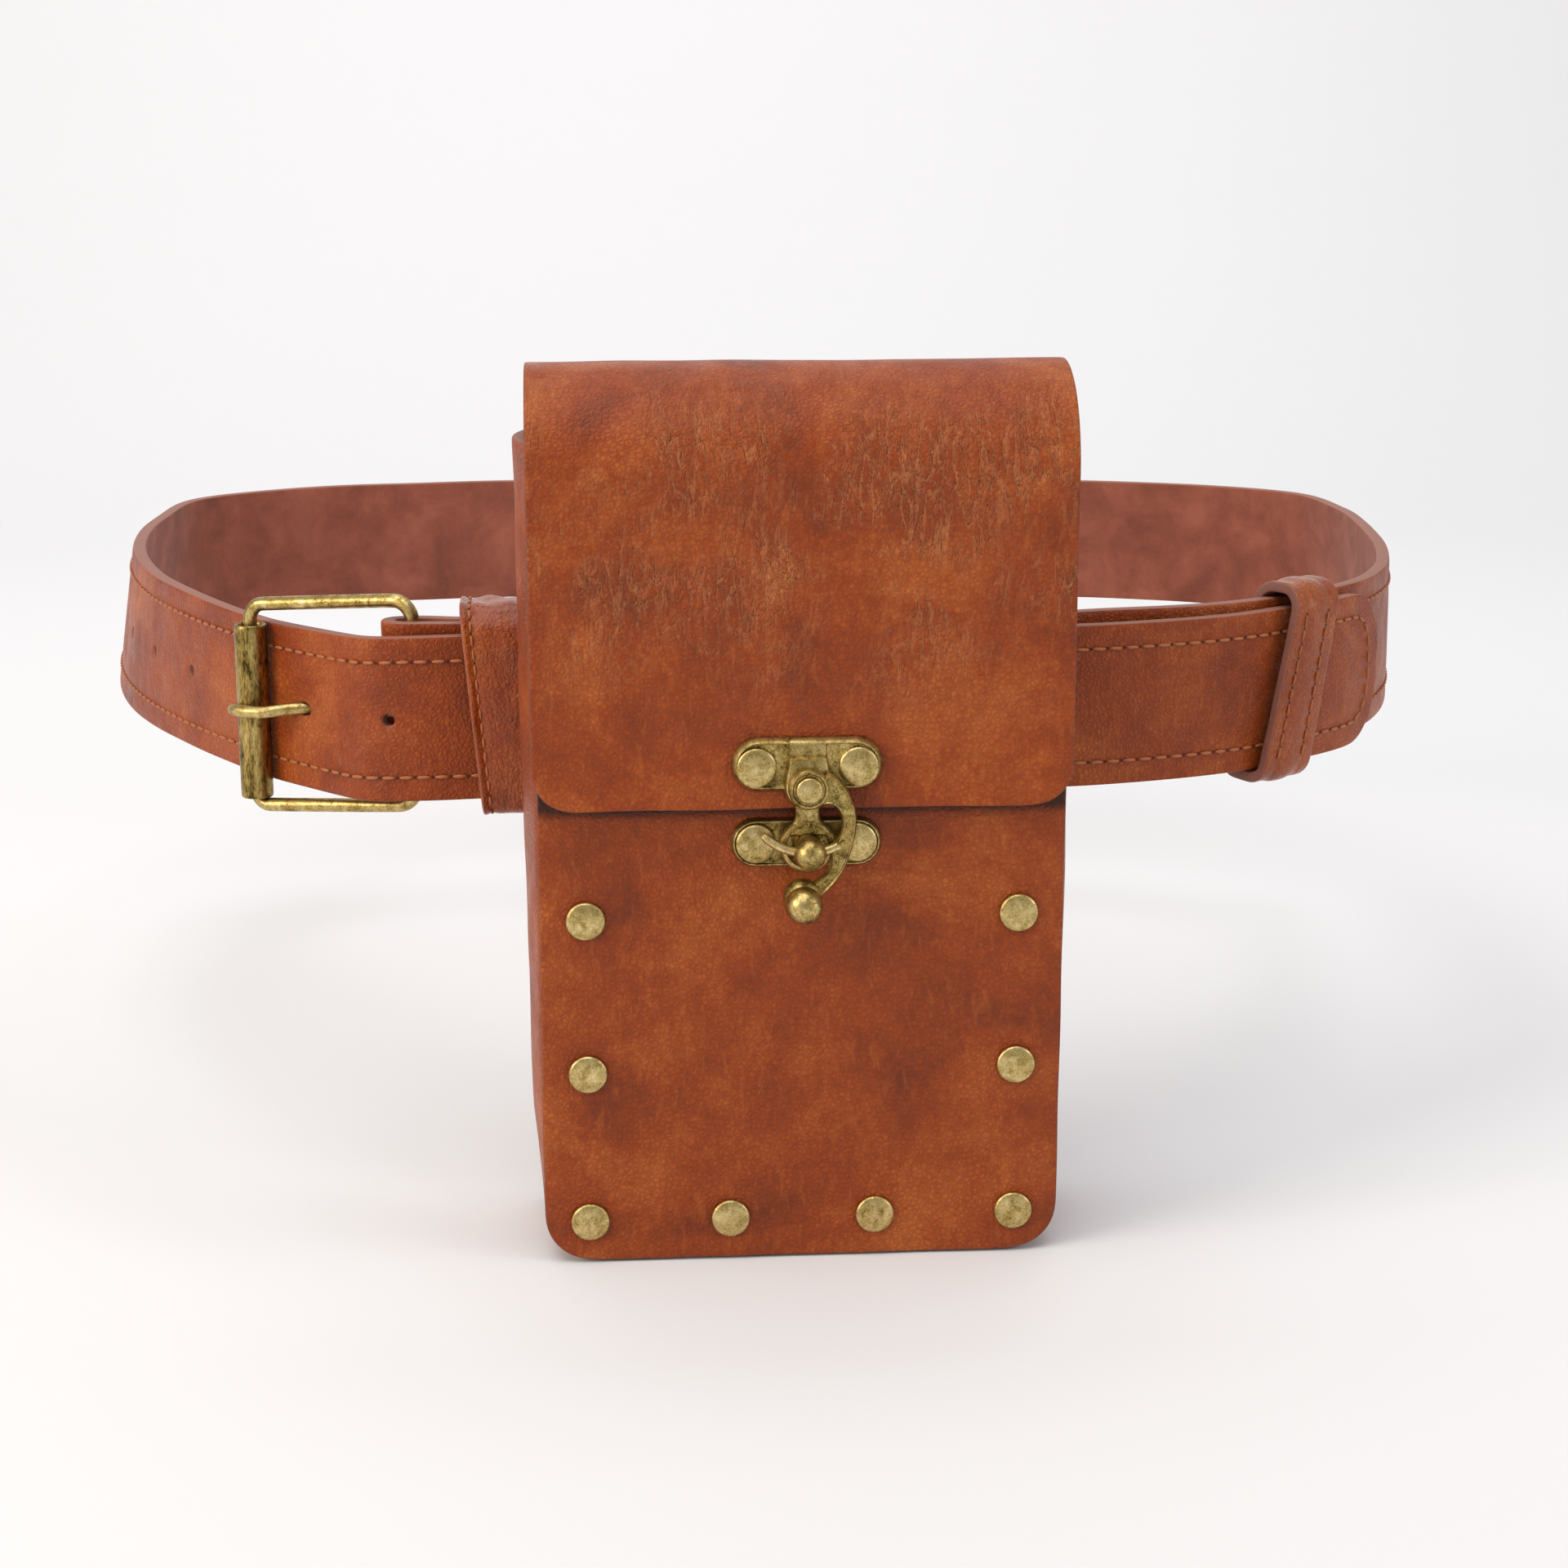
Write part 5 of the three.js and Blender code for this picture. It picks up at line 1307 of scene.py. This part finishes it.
def make_upper_plate():
    """Upper plate with its raised middle, and the tongue whose ring drops round the post."""
    sizes = bpy.context.scene.pouch_clasp
    drop = sizes.post_drop
    bm = bmesh.new()
    plate = stadium(sizes.width, sizes.upper_height, sizes.upper_middle)
    casting(bm, plate, GAP, [(0.1 * MM, 0.5 * MM), (0.75 * MM, 1.1 * MM), (0.22 * MM, 0),
                             (0.2 * MM, -0.55 * MM)], on_flap)
    top = sizes.upper_middle + 0.46 * sizes.upper_height
    tab = [Vector((x * sizes.boss, z, 0)) for x, z in ((-0.78, top), (-0.78, 0), (0.78, 0), (0.78, top))]
    casting(bm, tab, GAP, [(0.05 * MM, 1.1 * MM), (0.3 * MM, 0.45 * MM)], on_flap)
    top = 1.3 * sizes.boss
    boss = [Vector((-0.8 * sizes.boss, top, 0)), Vector((-sizes.boss, 0.25 * sizes.boss, 0)),
            *arc((0, 0), sizes.boss, 180, 360, 16), Vector((sizes.boss, 0.25 * sizes.boss, 0)),
            Vector((0.8 * sizes.boss, top, 0))]
    casting(bm, boss, GAP, [(0.1 * MM, 1.2 * MM), (0.5 * MM, sizes.boss_height - 1.4 * MM),
                            (0.3 * MM, 0.15 * MM)], on_flap)
    edge = [Vector((row["across"] * sizes.ring, row["z"] * drop, 0)) for row in TONGUE_EDGE]
    right = smooth_line(edge, 5)
    tongue = [Vector((-p.x, p.y, 0)) for p in right] + right[::-1]
    casting(bm, tongue, 2 * GAP, [(0.1 * MM, 0.9 * MM), (0.4 * MM, sizes.tongue - 1.0 * MM)], on_flap)
    ring = [
        (sizes.ring_hole, 0), (sizes.ring - 0.1 * MM, 0), (sizes.ring, 0.2 * MM), (sizes.ring, 0.9 * MM),
        (sizes.ring - 0.35 * MM, sizes.tongue), (sizes.ring_hole + 0.2 * MM, sizes.tongue),
        (sizes.ring_hole, sizes.tongue - 0.3 * MM), (sizes.ring_hole, 0),
    ]
    turned(bm, ring, Vector((CLASP_X, FLAP_FACE - 2 * GAP, PIVOT_Z - drop)), FORWARD, 40)
    soften(bm, 0.13 * MM)
    finish_piece(bm, "clasp_upper_plate", BRASS, nodes=["clasp_top_plate"], smooth=0, sharp=50)


def make_lower_plate():
    """Lower plate with its post: the finger goes through it, and a ball closes it."""
    sizes = bpy.context.scene.pouch_clasp
    drop = sizes.post_drop
    step = PANEL_FACE - FLAP_FACE
    hook_rear, hook_front = hook_layer(sizes)
    bm = bmesh.new()
    plate = stadium(sizes.width, sizes.lower_height, -drop)
    casting(bm, plate, GAP, [(0.1 * MM, 0.3 * MM), (0.45 * MM, 0.9 * MM), (0.2 * MM, 0),
                             (0.15 * MM, -0.4 * MM)], on_panel)
    radius = sizes.post_radius
    top = step + hook_front + GAP
    neck = step + hook_rear - 2 * GAP
    post = [(0, GAP), (radius * 0.95, GAP), (radius * 0.8, 1.6 * MM), (radius * 0.72, neck), (0, neck)]
    turned(bm, post, Vector((CLASP_X, PANEL_FACE, PIVOT_Z - drop)), FORWARD, 32)
    # Two cheeks carry the ball past the finger
    reach = 0.82 * radius
    for edge, turn in ((drop - sizes.finger_radius + sizes.finger / 2 + GAP, 1),
                       (sizes.finger_radius + sizes.finger / 2 + GAP - drop, -1)):
        start = math.degrees(math.asin(edge / reach))
        cheek = arc((0, -drop), reach, turn * start, turn * (180 - start), 10)
        casting(bm, cheek, neck - GAP, [(0.02 * MM, sizes.hook + 4 * GAP)], on_panel)
    centre = Vector((CLASP_X, PANEL_FACE - top - radius * 0.68, PIVOT_Z - drop))
    turned(bm, ball_profile(radius, 0.95), centre, FORWARD, 32)
    soften(bm, 0.12 * MM)
    finish_piece(bm, "clasp_lower_plate", BRASS, nodes=["clasp_bottom_plate"], smooth=0, sharp=50)


def make_hook():
    """Swinging hook: hub on the pin, arm, finger through the post, and knob."""
    sizes = bpy.context.scene.pouch_clasp
    drop = sizes.post_drop
    hook_rear, _ = hook_layer(sizes)
    knob = Vector((-0.1 * drop, -1.8 * drop, 0))
    bm = bmesh.new()
    outer = smooth_line(shares(HOOK_OUTER, drop), 5)
    lower = smooth_line(shares(HOOK_LOWER, drop), 4)
    upper = smooth_line(shares(HOOK_UPPER, drop), 4)
    arm = [Vector((0, 0, 0)), *outer, knob, *lower, *upper]
    casting(bm, arm, hook_rear, [(0.08 * MM, 1.3 * MM), (0.32 * MM, 0.55 * MM), (0.1 * MM, 0),
                                 (0.16 * MM, -0.22 * MM)], on_flap)
    hub = [
        (1.8 * MM, 0), (sizes.hub - 0.1 * MM, 0), (sizes.hub, 0.3 * MM), (sizes.hub, 1.5 * MM),
        (sizes.hub - 0.35 * MM, sizes.hook + 0.1 * MM), (sizes.hub - 0.75 * MM, sizes.hook + 0.1 * MM),
        (sizes.hub - 0.95 * MM, sizes.hook - 0.1 * MM), (1.8 * MM, sizes.hook - 0.1 * MM), (1.8 * MM, 0),
    ]
    turned(bm, hub, Vector((CLASP_X, FLAP_FACE - hook_rear, PIVOT_Z)), FORWARD, 36)
    finger = [on_flap(Vector((p.x, p.y, hook_rear + sizes.hook / 2)))
              for p in arc((0, 0), sizes.finger_radius, -62, -135, 16)]
    taper = [sizes.finger * (0.6 - 0.05 * i / 16) for i in range(17)]
    taper[-1] *= 0.7  # the tip is rounded off
    swept(bm, finger, taper, 12, across=Vector((0, 1, 0)), finish=2)
    # Two balls, the rear one flatter: radius, height as a share of it, how far down and ahead
    for radius, tall, lowering, ahead in (
        (sizes.knob_rear, 0.85, 0, sizes.hook / 2),
        (sizes.knob_front, 1.0, 0.4 * MM, sizes.hook / 2 + 1.1 * sizes.knob_front),
    ):
        centre = on_flap(Vector((knob.x, knob.y - lowering, hook_rear + ahead)))
        turned(bm, ball_profile(radius, tall), centre, FORWARD, 32)
    soften(bm, 0.12 * MM)
    finish_piece(bm, "clasp_swing_hook", BRASS, body="hook", nodes=["clasp_hook"], smooth=0, sharp=50)


def make_pin():
    """Pin that the hook swings on."""
    sizes = bpy.context.scene.pouch_clasp
    _, hook_front = hook_layer(sizes)
    bm = bmesh.new()
    head = cap_profile(sizes.pin_head, hook_front + GAP * 0.5, 0.95 * MM)
    turned(bm, head, Vector((CLASP_X, FLAP_FACE, PIVOT_Z)), FORWARD, 32)
    shank = [(0, 2 * GAP), (1.4 * MM, 2 * GAP), (1.4 * MM, hook_front + 2 * GAP), (0, hook_front + 2 * GAP)]
    turned(bm, shank, Vector((CLASP_X, FLAP_FACE, PIVOT_Z)), FORWARD, 24)
    finish_piece(bm, "clasp_pin_head", ("brass_cap",), nodes=["clasp_pivot_pin"], smooth=0, sharp=60)


def make_clasp_rivets():
    """Four rivets that hold the plates."""
    sizes = bpy.context.scene.pouch_clasp
    rows = (("top", FLAP_FACE, sizes.rivet_above), ("bottom", PANEL_FACE, -sizes.post_drop))
    for level, face, height in rows:
        for side, x in (("left", -sizes.rivet_x), ("right", sizes.rivet_x)):
            bm = bmesh.new()
            spot = Vector((CLASP_X + x, face - 1.1 * MM, PIVOT_Z + height))
            turned(bm, cap_profile(sizes.rivet, 0, 1.35 * MM), spot, FORWARD, 32)
            node = f"clasp_{level}_rivet_{side}"
            finish_piece(bm, f"clasp_cap_{level}_{side}", ("brass_cap",), nodes=[node])


# Stage


# Name, place and aim in metres, side in metres, power in watts, colour
LIGHTS = (
    ("softbox_above", (-0.25, -0.6, 1.4), (0, -0.15, 0), 1.2, 11.5, "#FFFFFF"),
    ("softbox_left", (-1.3, -0.8, 0.55), (0, -0.15, 0), 0.8, 12.5, "#FFF1DE"),
    ("softbox_right", (1.3, -0.8, 0.5), (0, -0.15, 0), 0.8, 5, "#F8FAFF"),
    ("backdrop_wash", (0, 0.5, 1.5), (0, 1.6, 0.5), 1.2, 11, "#FFFFFF"),
)

# The photograph's camera, worked out from its outlines: place in metres, angles in degrees, lens and
# sensor in millimetres
CAMERA = {"place": (-0.0410, -0.6641, 0.1134), "azimuth": 4.3, "down": 13.3, "lens": 63.9, "sensor": 36}


def make_floor():
    """Pale floor that bends up into a backdrop."""
    front, wall, bend, high, wide = -2.2, 1.6, 0.8, 2.4, 3.5
    profile = [Vector((0, front, BASE)), Vector((0, wall - bend, BASE))]
    for i in range(1, 13):
        turn = math.radians(90 * i / 12)
        along, up = wall - bend + bend * math.sin(turn), BASE + bend - bend * math.cos(turn)
        profile.append(Vector((0, along, up)))
    profile.append(Vector((0, wall, high)))
    bm = bmesh.new()
    verts = [bm.verts.new(point + Vector((-wide, 0, 0))) for point in profile]
    edges = [bm.edges.new(pair) for pair in zip(verts, verts[1:])]
    grown = bmesh.ops.extrude_edge_only(bm, edges=edges)
    moved = [item for item in grown["geom"] if isinstance(item, bmesh.types.BMVert)]
    bmesh.ops.translate(bm, verts=moved, vec=(2 * wide, 0, 0))
    bmesh.ops.recalc_face_normals(bm, faces=bm.faces)
    mesh = bpy.data.meshes.new("floor_and_backdrop")
    bm.to_mesh(mesh)
    bm.free()
    mesh.polygons.foreach_set("use_smooth", [True] * len(mesh.polygons))
    mesh.materials.append(material_of("paper"))
    floor = bpy.data.objects.new("floor_and_backdrop", mesh)
    bpy.context.scene.collection.objects.link(floor)


def make_lights():
    """Soft lights and a pale room."""
    scene = bpy.context.scene
    for name, place, aim, size, power, tint in LIGHTS:
        lamp = bpy.data.lights.new(name, "AREA")
        lamp.shape, lamp.size, lamp.energy = "SQUARE", size, power
        lamp.color = linear(tint)[:3]
        light = bpy.data.objects.new(name, lamp)
        light.location = place
        light.rotation_euler = (Vector(aim) - Vector(place)).to_track_quat("-Z", "Y").to_euler()
        scene.collection.objects.link(light)
    world = bpy.data.worlds.new("pale_room")
    world.use_nodes = True
    room = world.node_tree
    # The room is seen brighter than it lights, so that it stays pale behind every view
    seen = add(room, "LightPath", output="Is Camera Ray")
    strength = add(room, "MapRange", {"Value": seen, 3: 0.49, 4: 0.86})
    room.links.new(strength, room.nodes["Background"].inputs["Strength"])
    room.nodes["Background"].inputs["Color"].default_value = linear("#FBFAF8")
    scene.world = world
    scene.view_settings.view_transform = "Standard"


def make_camera():
    """Camera where the photograph's was."""
    scene = bpy.context.scene
    lens = bpy.data.cameras.new("photograph_view")
    lens.lens, lens.sensor_width = CAMERA["lens"], CAMERA["sensor"]
    camera = bpy.data.objects.new("photograph_view", lens)
    camera.location = CAMERA["place"]
    camera.rotation_euler = (math.radians(90 - CAMERA["down"]), 0, -math.radians(CAMERA["azimuth"]))
    scene.collection.objects.link(camera)
    scene.camera = camera


class POUCH_OT_leather(bpy.types.Operator):
    """Flap and back, front panel, side wall and sleeve"""
    bl_idname = "pouch.leather"
    bl_label = "Pouch Leather"

    def execute(self, context):
        make_flap()
        make_front_panel()
        make_gusset()
        make_sleeve()
        return {"FINISHED"}


class POUCH_OT_belt(bpy.types.Operator):
    """Belt strap and keeper"""
    bl_idname = "pouch.belt"
    bl_label = "Belt"

    def execute(self, context):
        make_strap()
        make_keeper()
        return {"FINISHED"}


class POUCH_OT_stitches(bpy.types.Operator):
    """Seams of belt, sleeve and keeper"""
    bl_idname = "pouch.stitches"
    bl_label = "Stitches"

    def execute(self, context):
        make_stitches()
        return {"FINISHED"}


class POUCH_OT_buckle(bpy.types.Operator):
    """Buckle frame, roller and prong"""
    bl_idname = "pouch.buckle"
    bl_label = "Roller Buckle"

    def execute(self, context):
        make_buckle_frame()
        make_roller()
        make_prong()
        return {"FINISHED"}


class POUCH_OT_rivets(bpy.types.Operator):
    """Rivets of the front panel"""
    bl_idname = "pouch.rivets"
    bl_label = "Rivets"

    def execute(self, context):
        make_panel_rivets()
        return {"FINISHED"}


class POUCH_OT_clasp(bpy.types.Operator):
    """Swing clasp: two plates, post, hook, pin and rivets"""
    bl_idname = "pouch.clasp"
    bl_label = "Swing Clasp"

    def execute(self, context):
        make_upper_plate()
        make_lower_plate()
        make_hook()
        make_pin()
        make_clasp_rivets()
        return {"FINISHED"}


class POUCH_OT_stage(bpy.types.Operator):
    """Floor, lights and camera"""
    bl_idname = "pouch.stage"
    bl_label = "Stage"

    def execute(self, context):
        make_floor()
        make_lights()
        make_camera()
        return {"FINISHED"}


OPERATORS = (
    POUCH_OT_leather, POUCH_OT_belt, POUCH_OT_stitches, POUCH_OT_buckle, POUCH_OT_rivets, POUCH_OT_clasp,
    POUCH_OT_stage,
)


class POUCH_PT_panel(bpy.types.Panel):
    """Sizes, colours and pieces of the pouch"""
    bl_label = "Belt Pouch"
    bl_idname = "POUCH_PT_panel"
    bl_space_type = "VIEW_3D"
    bl_region_type = "UI"
    bl_category = "Pouch"

    def draw(self, context):
        for name, group in SETTINGS.items():
            box = self.layout.box()
            for prop in group.__annotations__:
                box.prop(getattr(context.scene, name), prop)
        for operator in OPERATORS:
            self.layout.operator(operator.bl_idname)


def register():
    for group in (*SETTINGS.values(), *OPERATORS, POUCH_PT_panel):
        bpy.utils.register_class(group)
    for name, group in SETTINGS.items():
        setattr(bpy.types.Scene, name, bpy.props.PointerProperty(type=group))


def unregister():
    for name in SETTINGS:
        delattr(bpy.types.Scene, name)
    for group in (POUCH_PT_panel, *reversed(OPERATORS), *SETTINGS.values()):
        bpy.utils.unregister_class(group)


def main():
    register()
    for operator in OPERATORS:
        group, name = operator.bl_idname.split(".")
        getattr(getattr(bpy.ops, group), name)()


if __name__ == "__main__":
    main()
